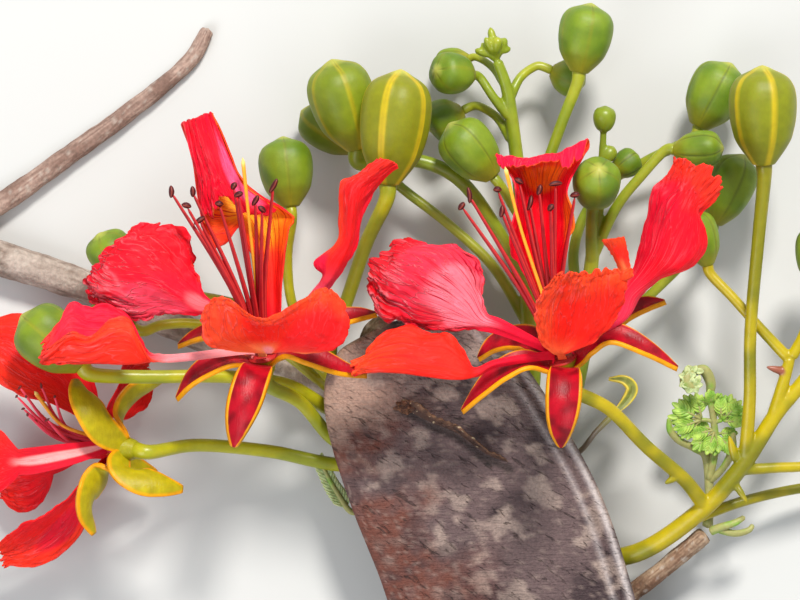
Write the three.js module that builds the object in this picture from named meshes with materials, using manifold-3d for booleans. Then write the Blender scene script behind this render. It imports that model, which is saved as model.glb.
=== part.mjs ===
// A cut branch of a flame tree lying on a table: a woody branch with a side twig and a leafing twig,
// four green racemes with three open blooms and their buds, and one ripe woody pod on its stalk.
// Millimetres. +X runs to the right, +Y away from a person looking down on it, +Z up from the table.
import * as THREE from "three";
import { mergeVertices } from "three/addons/utils/BufferGeometryUtils.js";
import Module from "manifold-3d";

const wasm = await Module();
wasm.setup();

// Driving dimensions.
const GAP = 0.3; // clear space between a piece and what carries it
const BRANCH_RADIUS = 5.5; // at the cut end
const BRANCH_TIP_RADIUS = 3.6;
const RACHIS_RADIUS = 2.6; // the green axis of a raceme
const PETAL_THICKNESS = 0.7;
const SEPAL_HALF_WIDTH = 5;
const SEPAL_THICKNESS = 1.4;
const CUP_RADII = [2.6, 3.5, 4.3]; // the cup that carries sepals, petals and stamens, foot to rim
const CUP_LENGTH = 6;
const SEPAL_FOOT = { behind: 2.6, out: 2.2 }; // where a sepal starts, from the middle of the cup's rim
const CLAW_RING = 2.9; // distance of the petals' claws from the flower's axis
const CLAW_HALF_WIDTH = 0.9;
const PETAL_PEAK = 1.2; // draws a petal's widest place on towards its tip
const PETAL_END = 0.9; // how far its outline runs round its far end; less leaves that end broader
const CLAW_RISE = { foot: 0.9, bend: 2.8, out: 0.9 }; // a claw's first two points, ahead of the rim
const KNOB = { ahead: [GAP, 2.6], radii: [1.5, 1.7, 1.4] }; // the knob that carries the stamens
const STYLE_RADII = [0.8, 0.6, 0.6, 0.7];
const STAMEN_FOOT = 1.9; // how far ahead of the rim the filaments start
const FILAMENT_RISE = 0.42; // the share of its reach in which a filament runs along the axis
const KNOB_SPREAD = 1.3; // how far out the stamens stand on the knob that carries them
const WAVES = 2.5; // waves along a petal's margin
// A filament's radii at stations along it, with the anther at its end.
const FILAMENT = {
  steps: [0, 0.35, 0.7, 0.91, 0.955, 1],
  radii: [0.42, 0.5, 0.5, 0.5, 1.15, 0.6],
  sides: 3,
};
const POD_WIDTH = 67.5;
const POD_THICKNESS = 8;
const POD_LENGTH = 337;
const POD_HEAD = 110; // the length in which it reaches its full width
const POD_TAIL = 120; // the length in which it narrows to its far end
const POD_END_HALF_WIDTH = 3.4; // at its stalk and at its far tip
const LEAFLET_THICKNESS = 0.7;
const LEAFLET_HALF_WIDTH = 0.9;
const LEAFLET_TURN = 0.62; // radians between a leaflet and the stem it stands on
const FAN_SPREAD = 1.25; // half the angle, in radians, over which a young leaf's leaflets spread
const FAN_CLEFT = 0.42; // how deep the clefts between them reach, as a share of their length
const FINEST = 0.04; // slivers flatter than this are merged into their neighbours

const vector = (p) => (p.isVector3 ? p.clone() : new THREE.Vector3(...p));
const mix = THREE.MathUtils.lerp;
const smooth = (t) => THREE.MathUtils.smoothstep(t, 0, 1);

// The value at t, from 0 to 1, of a list of numbers spaced evenly along a piece.
function along(values, t) {
  const at = t * (values.length - 1);
  const low = Math.min(Math.floor(at), values.length - 2);
  return values.length === 1 ? values[0] : mix(values[low], values[low + 1], at - low);
}

// Points, directions and upward directions along a smooth curve, at even steps or at given stations
// from 0 to 1. facing is the direction that each section's upper side looks in; without it the
// sections follow the curve untwisted.
function sections(points, steps, facing) {
  const curve = new THREE.CatmullRomCurve3(points.map(vector), false, "catmullrom", 0.5);
  const looks = facing && facing.map((f) => vector(f).normalize());
  let up = new THREE.Vector3(0.12, -0.2, 1).normalize();
  const stations = Array.isArray(steps)
    ? steps
    : Array.from({ length: steps + 1 }, (_, k) => k / steps);
  return stations.map((t) => {
    const tangent = curve.getTangent(t);
    if (looks)
      up = new THREE.Vector3(
        ...["x", "y", "z"].map((axis) => along(looks.map((l) => l[axis]), t)),
      );
    up = up.clone().addScaledVector(tangent, -up.dot(tangent)).normalize();
    return { t, point: curve.getPoint(t), tangent, up, side: tangent.clone().cross(up) };
  });
}

// A closed skin through rings that all have the same number of points. The faces of a ring's second
// half are split like those of its first half, so the two sides of a thin sheet stay apart. Each end
// is closed by a strip between the two halves, so a thin bent section closes along its bend.
function loft(rings) {
  const count = rings[0].length;
  const last = (rings.length - 1) * count;
  const index = [];
  for (let k = 0; k < count; k++) {
    const next = (k + 1) % count;
    for (let start = 0; start < last; start += count) {
      const ahead = start + count;
      if (k < count / 2)
        index.push(start + k, start + next, ahead + next, start + k, ahead + next, ahead + k);
      else index.push(start + k, start + next, ahead + k, start + next, ahead + next, ahead + k);
    }
  }
  for (let k = 0; k + 1 < count - 1 - k; k++) {
    const far = count - 1 - k;
    index.push(far, k + 1, k, last + k, last + k + 1, last + far);
    if (k + 1 < far - 1) index.push(far, far - 1, k + 1, last + k + 1, last + far - 1, last + far);
  }
  const geometry = new THREE.BufferGeometry()
    .setFromPoints(rings.flat())
    .setIndex(index);
  return solidOf(geometry);
}

// The solid inside a closed surface, with its faces pointing out.
function solidOf(geometry) {
  const plain = geometry.clone();
  for (const name of ["normal", "uv"]) plain.deleteAttribute(name);
  const merged = mergeVertices(plain, 1e-4);
  const build = (triVerts) =>
    new wasm.Manifold(
      new wasm.Mesh({
        numProp: 3,
        vertProperties: merged.attributes.position.array,
        triVerts,
      }),
    );
  const triangles = new Uint32Array(merged.index.array);
  const made = build(triangles);
  return made.volume() > 0 ? made : build(triangles.reverse());
}

// The main body of a solid, without any loose scrap.
const largest = (solid) =>
  solid.decompose().reduce((a, b) => (b.volume() > a.volume() ? b : a));

// Joins solids into one.
const fuse = (solids) => largest(solids.reduce((a, b) => a.add(b)));

// Cuts a solid back from others, and keeps its main piece.
const clearOf = (solid, others) =>
  largest(others.reduce((a, b) => a.subtract(b), solid));

// How many sections a limb has, by the length of its run.
const stepsFor = (points) =>
  Math.max(3, Math.round(new THREE.CatmullRomCurve3(points.map(vector)).getLength() / 10));

// A round tapering limb; with stations for steps, there is one radius for each. grow widens it all
// round, for cutting its neighbours clear.
function limb({ points, radii, sides = 5, steps = stepsFor(points) }, grow = 0) {
  const rings = sections(points, steps).map(({ t, point, up, side }, ring) =>
    Array.from({ length: sides }, (_, k) => {
      const angle = (2 * Math.PI * k) / sides;
      const radius = (Array.isArray(steps) ? radii[ring] : along(radii, t)) + grow;
      return point
        .clone()
        .addScaledVector(side, radius * Math.cos(angle))
        .addScaledVector(up, radius * Math.sin(angle));
    }),
  );
  return loft(rings);
}

// A turned shape from a foot to a tip, with radii at even steps between them.
function turned(foot, tip, radii, sides) {
  const axis = vector(tip).sub(vector(foot));
  const length = axis.length();
  const profile = radii.map((radius, k) => new THREE.Vector2(radius, (length * k) / (radii.length - 1)));
  const ends = [new THREE.Vector2(0, 0), new THREE.Vector2(0, length)];
  const shape = new THREE.LatheGeometry([ends[0], ...profile, ends[1]], sides);
  const turn = new THREE.Quaternion().setFromUnitVectors(new THREE.Vector3(0, 1, 0), axis.normalize());
  shape.applyQuaternion(turn).translate(...vector(foot));
  return solidOf(shape);
}

// A thin blade along a rib: widths are its half widths to each side at a share of the length, fold
// lifts each half from the rib, in radians, curl bends it on, and ruffle waves its margins.
function blade(
  { rib, facing, width, fold = [0, 0], curl = [0, 0], ruffle = 0 },
  { outline, thickness, steps = 7, half = 2 },
) {
  const rings = sections(rib, steps, facing).map(({ t, point, up, side }) => {
    const upper = [];
    const lower = [];
    for (let k = -half; k <= half; k++) {
      const share = Math.abs(k) / half;
      const which = k < 0 ? 0 : 1;
      const hand = k < 0 ? -1 : 1;
      const open = smooth(Math.min(1, t * 2.5));
      const start = fold[which] * open;
      const bend = curl[which] * open;
      const reach = outline(t) * width[which];
      const angle = start + (bend * share) / 2;
      const normal = up
        .clone()
        .multiplyScalar(Math.cos(start + bend * share))
        .addScaledVector(side, -hand * Math.sin(start + bend * share));
      const wave = ruffle * share * share * t * Math.sin(2 * Math.PI * WAVES * t + hand);
      const place = point
        .clone()
        .addScaledVector(side, hand * share * reach * Math.cos(angle))
        .addScaledVector(up, share * reach * Math.sin(angle))
        .addScaledVector(normal, wave);
      upper.push(place.clone().addScaledVector(normal, thickness / 2));
      lower.unshift(place.addScaledVector(normal, -thickness / 2));
    }
    return [...upper, ...lower];
  });
  return loft(rings);
}

// Half width of a petal along its length: a claw that widens up to its throat and opens into a broad
// round blade.
const petalOutline = (claw, widest, throat) => (t) => {
  const s = Math.max(0, (t - claw) / (1 - claw));
  const round = Math.pow(Math.sin(Math.PI * Math.min(PETAL_END, Math.pow(s, PETAL_PEAK))), 0.62);
  const stem = mix(CLAW_HALF_WIDTH, throat, smooth(Math.min(1, t / claw))) / widest;
  return s > 0 ? Math.max(round, mix(stem, CLAW_HALF_WIDTH / widest, s)) : stem;
};
// Half width of a sepal: broad at its foot and drawn to a point.
const sepalOutline = (t) => 0.1 + 0.9 * Math.pow(Math.sin(Math.PI * mix(0.13, 0.985, t)), 0.85);
// Half width of a leaflet.
const leafletOutline = (t) => Math.sin(Math.PI * mix(0.08, 0.94, t));

// The woody parts. The branch lies on the table, and each twig is cut clear of it.
const branchRun = {
  points: [
    [-140, 16, 5.5], [-126, 16, 5.5], [-113, 11.5, 5.4], [-90, 4, 5.2], [-62, -8.5, 5],
    [-30, -21, 5.4], [-4, -35, 7], [16, -48, 9],
  ],
  radii: [BRANCH_RADIUS, 5.4, 5, 4.6, 4.2, 3.8, BRANCH_TIP_RADIUS, 4.2],
  sides: 9,
  steps: 12,
};
const sideTwigRun = {
  points: [
    [-131, 16, 5.5], [-125, 22, 5.2], [-114, 28, 4.6], [-97, 40, 3.6], [-77, 54.5, 2.8], [-61, 68, 2.2],
    [-55, 78, 1.8],
  ],
  radii: [3.8, 3.6, 3.2, 2.9, 2.6, 2.3, 1.9],
  sides: 7,
  steps: 9,
};
const leafTwigRun = {
  points: [
    [2, -39, 7.5], [10, -56, 4], [24, -75, 2.75], [42, -88, 3], [57, -89, 5.6], [68.5, -82, 10],
    [78, -74, 14], [87, -66.5, 17],
  ],
  radii: [3, 3, 2.8, 2.6, 2.6, 2.6, 2.5, 2.7],
  sides: 7,
  steps: 11,
};
const podStalkRun = {
  points: [[-9, -32, 6.5], [-9.5, -24, 10], [-9.5, -15, 16.5], [-8, -9, 24], [-3.4, -6.5, 29.6]],
  radii: [3.2, 2.7, 2.5, 2.6, 3.2],
  sides: 8,
  steps: 8,
};

// The ripe pod: a flat woody strap with blunt ends and thickened edges, widest past its middle.
const podRun = {
  points: [
    [-2.3, -6.2, 30], [5, -24, 28.5], [15.5, -45.8, 26], [26, -68, 23], [33.4, -90.8, 19.5],
    [39.6, -113.8, 16], [45.6, -139.7, 12.5], [51.4, -165.8, 9.4], [58, -200, 6], [63, -240, 3.9],
    [65, -282, 3], [62, -330, 3],
  ],
  facing: [[-0.1, 0.1, 1], [0, 0.08, 1], [0, 0.09, 1], [0, 0.06, 1]],
};
const podHalfWidth = (t) => {
  const head = Math.max(0, 1 - (t * POD_LENGTH) / POD_HEAD);
  const tail = Math.max(0, 1 - ((1 - t) * POD_LENGTH) / POD_TAIL);
  return (POD_WIDTH / 2) * Math.pow(1 - head * head, 0.25) * Math.pow(1 - tail * tail, 0.4);
};
// Thin over its chambers, thickened towards its edges and rounded at them.
const podHalfThickness = (across) => {
  const rib = mix(0.62, 1, Math.pow(Math.abs(across), 3));
  return (POD_THICKNESS / 2) * rib * Math.sqrt(1.04 - Math.pow(across, 6));
};
// Where the pod's sections lie: closer together at its two ends.
const POD_STATIONS = [
  0, 0.012, 0.035, 0.07, 0.12, 0.18, 0.25, 0.33, 0.42, 0.51, 0.6, 0.68, 0.76, 0.83, 0.89, 0.94,
  0.975, 0.993, 1,
];
const POD_ACROSS = [-1, -0.93, -0.7, 0, 0.7, 0.93, 1]; // a section's corners, as shares of its half width

function pod() {
  const rings = sections(podRun.points, POD_STATIONS, podRun.facing).map(({ t, point, up, side }) => {
    const half = Math.max(POD_END_HALF_WIDTH, podHalfWidth(t));
    const thin = mix(0.75, 1, Math.min(1, half / 20));
    const edge = (across, hand) =>
      point
        .clone()
        .addScaledVector(side, across * half)
        .addScaledVector(up, hand * podHalfThickness(across) * thin);
    return [
      ...POD_ACROSS.map((a) => edge(a, 1)),
      ...POD_ACROSS.toReversed().map((a) => edge(a, -1)),
    ];
  });
  return loft(rings);
}

// The blooms. Places are from the cup's rim: each petal starts on the ring of claws, and each sepal
// in the cup. A row of a petal holds five places from its left edge to its right edge, and the last
// rows of a standard are its rim, rolled over. The flower faces along its axis.
const BLOOMS = {
  bloom_right: {
    rim: [45, -16, 50],
    axis: [-0.3, 0.86, 0.41],
    petals: {
      standard: {
        seat: 160,
        rows: [
          [[-4.5, 11, -3], [-4.5, 11, -4.5], [-3.5, 11, -5], [-3, 11, -4.5], [-2.5, 11, -3]],
          [[-8.5, 19, -1], [-6.5, 19, -7], [-4.5, 19, -9], [-3, 18.5, -7], [-1.5, 18, -1]],
          [[-12, 26.5, 0], [-9, 27, -9], [-5.5, 27, -12], [-2, 27, -9], [0.5, 26.5, 0]],
          [[-14.5, 31, 0.5], [-10.5, 32, -9], [-5.5, 33, -12.5], [-1.5, 32, -9], [2.5, 32.5, 0]],
          [[-13.5, 37.5, 0], [-10, 38, -10], [-5.5, 38, -13], [-1, 38, -10], [4, 37.5, -2]],
          [[-12.5, 44, 0], [-9.5, 44, -10], [-5.5, 44, -13], [-1, 44, -10], [2.5, 43, -1]],
          [[-14, 49, -0.5], [-10.5, 49.5, -10], [-5.5, 49.5, -13], [-1, 49.5, -10], [3, 49.5, -1]],
          [[-18, 54, -3], [-12, 53.5, -6], [-5.5, 53.5, -8.5], [1.5, 55, -6], [8, 58, -4]],
          [[-19, 56.5, -0.5], [-12.5, 55.5, -1.5], [-5.5, 56, -3.5], [1.5, 58, -2], [7.5, 61, -1]],
          [[-17.5, 53.5, 3], [-13.5, 51.5, 4], [-6.5, 54, 2], [1, 52.5, 4], [6, 56, 3]],
        ],
      },
      upper_left: {
        seat: 232,
        rows: [
          [[-18, 6.5, 3], [-17.5, 7.5, 3.5], [-16.5, 8, 4], [-16, 9, 3.5], [-15.5, 10, 3]],
          [[-24.5, 7.5, 3], [-23.5, 9, 4], [-23, 10, 4.5], [-21.5, 11.5, 4], [-21, 12.5, 2]],
          [[-29.5, 7, 3], [-29, 10, 5], [-27.5, 14, 6], [-24.5, 18, 5], [-21.5, 16.5, 1]],
          [[-34, 6.5, 4], [-34, 11, 6], [-32.5, 17.5, 7], [-28, 23, 6], [-21, 22, 0]],
          [[-40, 7.5, 3], [-40, 12.5, 6], [-37.5, 20, 8], [-31.5, 26.5, 6], [-21.5, 26.5, 0]],
          [[-45, 9, 1], [-44.5, 14.5, 4], [-41.5, 22.5, 6], [-35.5, 29.5, 4], [-27, 31.5, 0]],
          [[-49, 9, -1], [-48.5, 16, 2], [-46, 24.5, 4], [-41, 30.5, 2], [-34, 31, -2]],
          [[-52, 16, -3], [-52, 20, 0], [-49.5, 26, 2], [-45, 31.5, 1], [-39.5, 32.5, -2]],
          [[-52.5, 21.5, -4], [-54.5, 24.5, -1], [-53.5, 27.5, 0], [-48.5, 30, -1], [-41, 33.5, -3]],
        ],
      },
      lower_left: {
        seat: 300,
        rows: [
          [[-18, -2.5, 6], [-18, -2, 7], [-18, -1.5, 7.5], [-18, -1, 7], [-18, -0.5, 6]],
          [[-23.5, -4.5, 5], [-23.5, -5, 6.5], [-23.5, -4.5, 8], [-24, -3.5, 8], [-24.5, -2.5, 7]],
          [[-26.5, -1, 3.5], [-26.5, -4.5, 6.5], [-27, -5.5, 10], [-27.5, -1.5, 9.5], [-28, 3, 7]],
          [[-31, 1.5, 3], [-31, -3.5, 7], [-31.5, -5.5, 11], [-32.5, 2, 10], [-32.5, 8, 7]],
          [[-38, 2, 2], [-38, -3, 7], [-38.5, -4.5, 12], [-38.5, 2.5, 11], [-37, 7.5, 6]],
          [[-45, 2, 2], [-45, -2.5, 7], [-45, -3.5, 12], [-45, 3.5, 10], [-44.5, 10.5, 5]],
          [[-51, 1.5, 2], [-51.5, -2.5, 6], [-52, -3.5, 10], [-51.5, 2, 9], [-50.5, 6.5, 5]],
          [[-55.5, -0.5, 3], [-56, -3, 5], [-56.5, -4, 8], [-55.5, -1, 8], [-54, 1.5, 5]],
          [[-59, -2.5, 4], [-59, -3.5, 5], [-59, -5, 7], [-59, -3, 7], [-58, -0.5, 5]],
        ],
      },
      front: {
        seat: 0,
        rows: [
          [[-3, 1.5, 7], [-1.5, 1.5, 6.5], [0, 1.5, 6], [1.5, 1.5, 6.5], [3, 2, 7]],
          [[-7, 5, 12], [-3.5, 4.5, 10], [1, 4, 8], [6, 4, 10], [10, 5.5, 12]],
          [[-8.5, 10.5, 17], [-3.5, 9.5, 14], [2.5, 9, 12], [9, 9, 15], [15, 11, 17]],
          [[-8.5, 15, 20], [-3, 15, 18], [4, 14.5, 16], [11, 14.5, 19], [17.5, 16.5, 20]],
          [[-5.5, 19.5, 23], [-1, 20, 22], [5, 20, 20], [11.5, 20.5, 23], [18.5, 20.5, 22]],
          [[-2.5, 23.5, 24], [1, 24, 25], [6, 25, 23], [11.5, 25, 25], [20, 24.5, 23]],
        ],
        lobe: [
          [[15.5, 22, 21], [17, 22, 22], [19, 22.5, 21]],
          [[14.5, 26, 20], [16, 26, 22], [18, 26, 20]],
          [[12.5, 29.5, 20], [14.5, 29.5, 22], [17.5, 29.5, 20]],
          [[10, 32.5, 21], [13.5, 33, 23], [16.5, 33.5, 21]],
        ],
      },
      right: {
        seat: 82,
        rows: [
          [[14, 12, 2], [14.5, 11.5, 3], [15.5, 10.5, 3.5], [16.5, 10, 3], [17, 10, 2]],
          [[16.5, 19, 2], [17.5, 18, 4], [19, 17.5, 4.5], [20.5, 17, 4], [22, 17, 2]],
          [[19.5, 25, 2], [22, 24, 5], [24.5, 22.5, 6], [26.5, 22, 5], [28.5, 22.5, 2]],
          [[21.5, 32, 3], [25, 29.5, 7], [28.5, 27, 9], [32.5, 25, 8], [35, 24.5, 4]],
          [[23, 39.5, 4], [27, 36, 8], [31, 32.5, 10], [36.5, 30, 9], [40, 30, 5]],
          [[25, 47, 6], [29, 42.5, 10], [33.5, 38.5, 11], [37.5, 36.5, 10], [39.5, 35.5, 7]],
          [[28, 50, 8], [32, 46.5, 11], [35, 43, 12], [37, 41, 11], [38, 39, 8]],
          [[30, 53, 10], [34, 50, 12], [37, 47, 13], [39.5, 44, 12], [41, 42, 10]],
          [[30, 56.5, 11], [35.5, 54.5, 14], [41, 53, 16], [44, 49, 14.5], [43.5, 45.5, 12]],
        ],
      },
    },
    sepals: {
      front: {
        rib: [[0.5, -4.5, 10], [0, -11.5, 14], [-0.5, -18.5, 12.5], [-0.5, -24.5, 8]],
        facing: [[0, 0.8, 0.6], [0, 0.1, 1], [0, -0.2, 1]],
      },
      left: {
        rib: [[-9, -1.5, 2], [-16, -4.5, 3], [-22, -9.5, 1.5], [-27.5, -15, -2]],
        facing: [[-0.2, 0.9, 0.4], [-0.5, 0.75, 0.4]],
        curl: [1.2, 1.2],
      },
      right: {
        rib: [[8, 3, 2], [14, 5.5, 3.5], [23, 2, 3.5], [32, -3, 0]],
        facing: [[0.1, 0.9, 0.4], [0.4, 0.8, 0.45]],
        curl: [1.2, 1.2],
      },
      back_right: {
        rib: [[9.5, 5, -9], [16.5, 10.5, -13], [24, 14, -14.5], [29.5, 15.5, -15]],
        facing: [[0.1, 0.9, 0.1], [-0.2, 0.9, 0.4]],
        curl: [1.2, 1.2],
      },
      back_left: {
        rib: [[-7, 3.5, -6.5], [-12.5, 4.5, -9], [-18.5, 3, -10], [-23, -0.5, -11]],
        facing: [[-0.3, 0.8, 0.5], [-0.5, 0.8, 0.5]],
        curl: [1.2, 1.2],
      },
    },
    style: [[-5, 16, 5], [-11.5, 35.5, 7.5], [-16, 53, 9]],
    anthers: [
      [-28, 42, 6], [-26, 45, 8.5], [-18, 46.5, 6], [-17, 40.5, 10], [-12, 49, 3], [-6.5, 46.5, 6],
      [-2, 48, 9.5], [-3.5, 41.5, 13], [3.5, 45, 5], [-9, 43, 1],
    ],
  },
  bloom_left: {
    rim: [-38.5, -15, 47],
    axis: [-0.15, 0.84, 0.52],
    petals: {
      standard: {
        seat: 145,
        rows: [
          [[1, 10.5, 0], [2, 10.5, -1.5], [3, 10.5, -2], [4, 10.5, -1.5], [5, 10.5, 0]],
          [[0, 19, 2], [1.5, 19, -2], [3, 19, -3], [4, 19, -2], [5.5, 19, 1]],
          [[-1.5, 25.5, 3], [0.5, 26, -2], [2.5, 26.5, -3.5], [4.5, 26.5, -2], [6.5, 26.5, 2]],
          [[-4.5, 31, 3], [-1.5, 33, -2], [1, 34, -4], [4.5, 35, -2], [8, 34.5, 2]],
          [[-6.5, 35, 3], [-4.5, 38.5, -2], [-2, 40, -5], [3, 40.5, -3], [9.5, 38, 2]],
          [[-11, 30, 3], [-10, 39, -2], [-8, 44, -5], [-4, 46.5, -3], [0.5, 43, 1]],
          [[-15.5, 31.5, 3], [-15.5, 41.5, -2], [-14, 48.5, -5], [-10.5, 52.5, -4], [-5.5, 49, 0]],
          [[-19, 52.5, 2], [-17.5, 54.5, -3], [-15.5, 57, -5], [-13, 58, -4], [-9, 57, 0]],
          [[-22, 63.5, 2], [-20, 65, 0], [-18, 66, -1], [-15.5, 67, 0], [-13.5, 67, 1.5]],
          [[-20.5, 58.5, 6], [-18, 57.5, 6.5], [-15.5, 56.5, 6.5], [-12, 57, 6], [-9.5, 57, 5]],
          [[-18, 49.5, 5], [-15.5, 49, 7], [-12.5, 50, 8], [-9, 48.5, 7.5], [-5, 47, 6]],
          [[-17, 41.5, 5], [-14.5, 43, 7.5], [-11.5, 46.5, 8.6], [-6, 43.5, 8], [2, 42, 6]],
          [[-16, 35.5, 5], [-13.5, 37.5, 7], [-10, 43.5, 9], [-3.5, 38.5, 8], [9, 38, 6]],
        ],
      },
      upper_left: {
        seat: 220,
        rows: [
          [[-14, 10.5, 3], [-13.5, 11, 4], [-13, 12, 4.5], [-13, 13, 4], [-12.5, 13.5, 3]],
          [[-18, 10.5, 3], [-18, 12, 5], [-18, 14, 6], [-17, 15.5, 5], [-16, 17, 3]],
          [[-24, 10.5, 4], [-25, 13.5, 6], [-24.5, 17, 8], [-22.5, 21, 6], [-16.5, 23, 2]],
          [[-28.5, 9.5, 5], [-31, 14, 7], [-31, 20, 9], [-27.5, 25.5, 7], [-16.5, 29, 1]],
          [[-33, 8, 5], [-37, 13.5, 7], [-37.5, 21, 9], [-32.5, 29, 8], [-19, 35, 1]],
          [[-37.5, 10.5, 3], [-42.5, 15, 6], [-42.5, 22, 8], [-37, 30.5, 7], [-24, 37.5, 1]],
          [[-44, 13.5, 2], [-47, 17, 4], [-45.5, 24, 6], [-39.5, 31, 5], [-29, 38.5, 0]],
          [[-49.5, 15, 1], [-50, 19, 2], [-47, 24.5, 3], [-41.5, 30.5, 3], [-35.5, 36.5, -1]],
        ],
      },
      lower_left: {
        seat: 291,
        rows: [
          [[-22.5, -2, 10.5], [-22.5, -1.5, 11], [-22.5, -1, 11], [-22.5, -0.5, 10.5], [-22.5, 0, 10]],
          [[-28, -2, 12.5], [-28, -1.8, 12], [-28, -1.5, 11.3], [-28, -1, 10.6], [-28, 0, 10]],
          [[-31, -0.5, 14.5], [-31, -1.6, 13.5], [-31, -2, 12], [-31, -1, 10.5], [-31, 0.5, 9.5]],
          [[-33.5, 4.5, 16.5], [-33.5, 0.5, 16.5], [-33.5, -2.5, 14], [-33, 0.5, 10.5], [-33, 4, 9.5]],
          [[-36, 10.5, 16], [-36, 4, 18], [-36, -2.5, 15], [-37, 5.5, 10], [-37, 11.5, 8]],
          [[-41, 11, 17], [-41, 4, 18], [-41, -2.5, 15], [-42, 6, 10], [-42.5, 14.5, 8]],
          [[-47, 5.5, 17], [-47, 2, 18], [-47, -2.5, 15], [-48, 6.5, 11], [-48, 14, 9]],
          [[-52, 6.5, 17], [-52.5, 2.5, 17], [-53, -2.5, 15.5], [-53, 7.5, 13], [-52.5, 15, 10]],
          [[-57, 3, 17], [-57, 0, 16.5], [-57.5, -2.5, 15], [-57.5, 2.5, 13.5], [-56, 9.5, 11]],
          [[-61, -0.5, 16.5], [-61, -2, 16], [-61.5, -3, 14.5], [-61.5, 0, 13.5], [-60.5, 4, 12]],
        ],
      },
      front: {
        seat: 4,
        rows: [
          [[-1.5, 0.5, 9], [0.5, 0.5, 8.5], [2, 0.5, 8], [3.5, 0.5, 8.5], [5.5, 1, 9]],
          [[-9.5, 1, 14], [-4.5, 2.5, 14], [2, 3, 11], [8.5, 2, 14], [16.5, 0.5, 15]],
          [[-15.5, 3, 18], [-7.5, 5, 19], [2, 5, 14], [12.5, 5, 19], [23, 2.5, 19]],
          [[-17, 8, 21], [-8.5, 9.5, 23], [2, 7.5, 17], [14.5, 10, 23], [25.5, 8, 22]],
          [[-15.5, 12.5, 23], [-9.5, 13.5, 25], [2, 8.5, 19], [15.5, 14.5, 25], [24, 14, 24]],
          [[-12.5, 15.5, 24], [-8.5, 16, 26], [0.5, 10, 21], [16, 18, 26], [20.5, 17.5, 25]],
        ],
      },
      right: {
        seat: 73,
        rows: [
          [[13, 16, 2], [14, 16, 3], [15, 16, 3.5], [15.5, 16, 3], [17, 16, 2]],
          [[17, 21.5, 3], [17.5, 21.5, 5], [19, 21, 6], [20, 21, 5], [21, 21, 3]],
          [[14.5, 25.5, 4], [18, 25.5, 6], [21, 25.5, 8], [22.5, 25.5, 7], [24, 25.5, 4]],
          [[21, 31.5, 4], [22.5, 31, 7], [24, 31, 9], [25, 30.5, 7], [26.5, 30.5, 4]],
          [[21.5, 38.5, 4], [23.5, 38.5, 8], [25, 38.5, 10.5], [26.5, 38.5, 8], [28, 38, 5]],
          [[22, 47, 5], [24, 46.5, 9], [26.5, 46, 12], [28.5, 44.5, 10], [31, 44, 6]],
          [[27, 50, 8], [28.5, 50, 11], [30.5, 49.5, 13], [32.5, 49, 11], [35, 49.5, 8]],
          [[32, 54, 9], [34, 54.5, 12], [36, 53.5, 13], [37.5, 53, 11], [38.5, 52, 9]],
        ],
      },
    },
    sepals: {
      front: {
        rib: [[-1.5, -5, 11], [-4, -12, 15], [-6, -18.5, 14.5], [-7.5, -25.5, 11]],
        facing: [[0, 0.8, 0.6], [0, 0.1, 1], [0, -0.15, 1]],
      },
      left: {
        rib: [[-7.5, -2, 3.5], [-13.5, -4, 4.5], [-19, -7.5, 3.5], [-23.5, -12.5, 0]],
        facing: [[-0.2, 0.9, 0.4], [-0.6, 0.7, 0.4]],
        curl: [1.2, 1.2],
      },
      right: {
        rib: [[7.5, 0.5, 3.5], [13.5, -1.5, 5], [21.5, -4.5, 3.5], [29, -6, 0]],
        facing: [[0.1, 0.9, 0.4], [0.2, 0.9, 0.45]],
        curl: [1.2, 1.2],
      },
      back_right: {
        rib: [[10.5, 3.5, -9], [19, 8, -12.5], [26, 10, -14], [32, 11, -14]],
        facing: [[0.1, 0.9, 0.1], [-0.1, 0.9, 0.4]],
        curl: [1.2, 1.2],
      },
      back_left: {
        rib: [[-8, 3, -9], [-13.5, 5, -14], [-19, 4, -17.5], [-24, 2, -19.5]],
        facing: [[-0.3, 0.9, 0.1], [-0.3, 0.9, 0.3]],
        curl: [1.2, 1.2],
      },
    },
    style: [[-1, 15, 6], [-3, 34.5, 10], [-5, 54.5, 13]],
    anthers: [
      [-25, 45, 9], [-20.5, 41, 13], [-19, 45, 10], [-17, 37, 10], [-7.5, 46.5, 14], [-6, 44, 17],
      [3.5, 46.5, 14.5], [-11.5, 41.5, 12.5], [-1.5, 42.5, 13], [0.5, 40, 16.5],
    ],
  },
  bloom_side: {
    rim: [-79.5, -41.5, 36],
    axis: [-0.94, 0.1, -0.3],
    petals: {
      upper: {
        seat: 76,
        rib: [[-7.5, 9, -2.5], [-15, 17.5, -5.5], [-23, 23.5, -6.5], [-31, 28.5, -8], [-38, 31, -12]],
        facing: [[0.3, 0.6, 0.7], [0.2, -0.2, 1]],
        width: [11.5, 12.5],
        fold: [0.2, 0.1],
        claw: 0.3,
        ruffle: 2,
      },
      middle: {
        seat: 0,
        rib: [[-13, -1.5, 5.5], [-25, -3.5, 6], [-33, -3.5, 4.5], [-41, -2.5, 1.5], [-48, -1, -3.5]],
        facing: [[0.2, 0, 1], [-0.1, 0, 1]],
        width: [13, 12],
        fold: [0.2, 0.25],
        claw: 0.5,
        throat: 4,
        ruffle: 2,
      },
      lower: {
        seat: 288,
        rib: [[-9, -9, 0.5], [-13, -15, -8], [-19, -21.5, -14], [-27, -27.5, -17], [-35, -31, -19]],
        facing: [[0.4, -0.6, 0.4], [0.4, -0.2, 1]],
        width: [9, 9],
        fold: [0.4, 0.4],
        claw: 0.34,
        ruffle: 2,
      },
      back_up: {
        seat: 144,
        rib: [[-3.5, 9, -7], [0, 13, -13.5], [2, 17, -19], [4.5, 20, -23.5], [8, 22, -27]],
        facing: [[0.9, -0.2, 0.3], [0.8, 0.3, 0.4]],
        width: [9, 9],
        fold: [0.3, 0.3],
        claw: 0.34,
        ruffle: 1.6,
      },
      back: {
        seat: 216,
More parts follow.
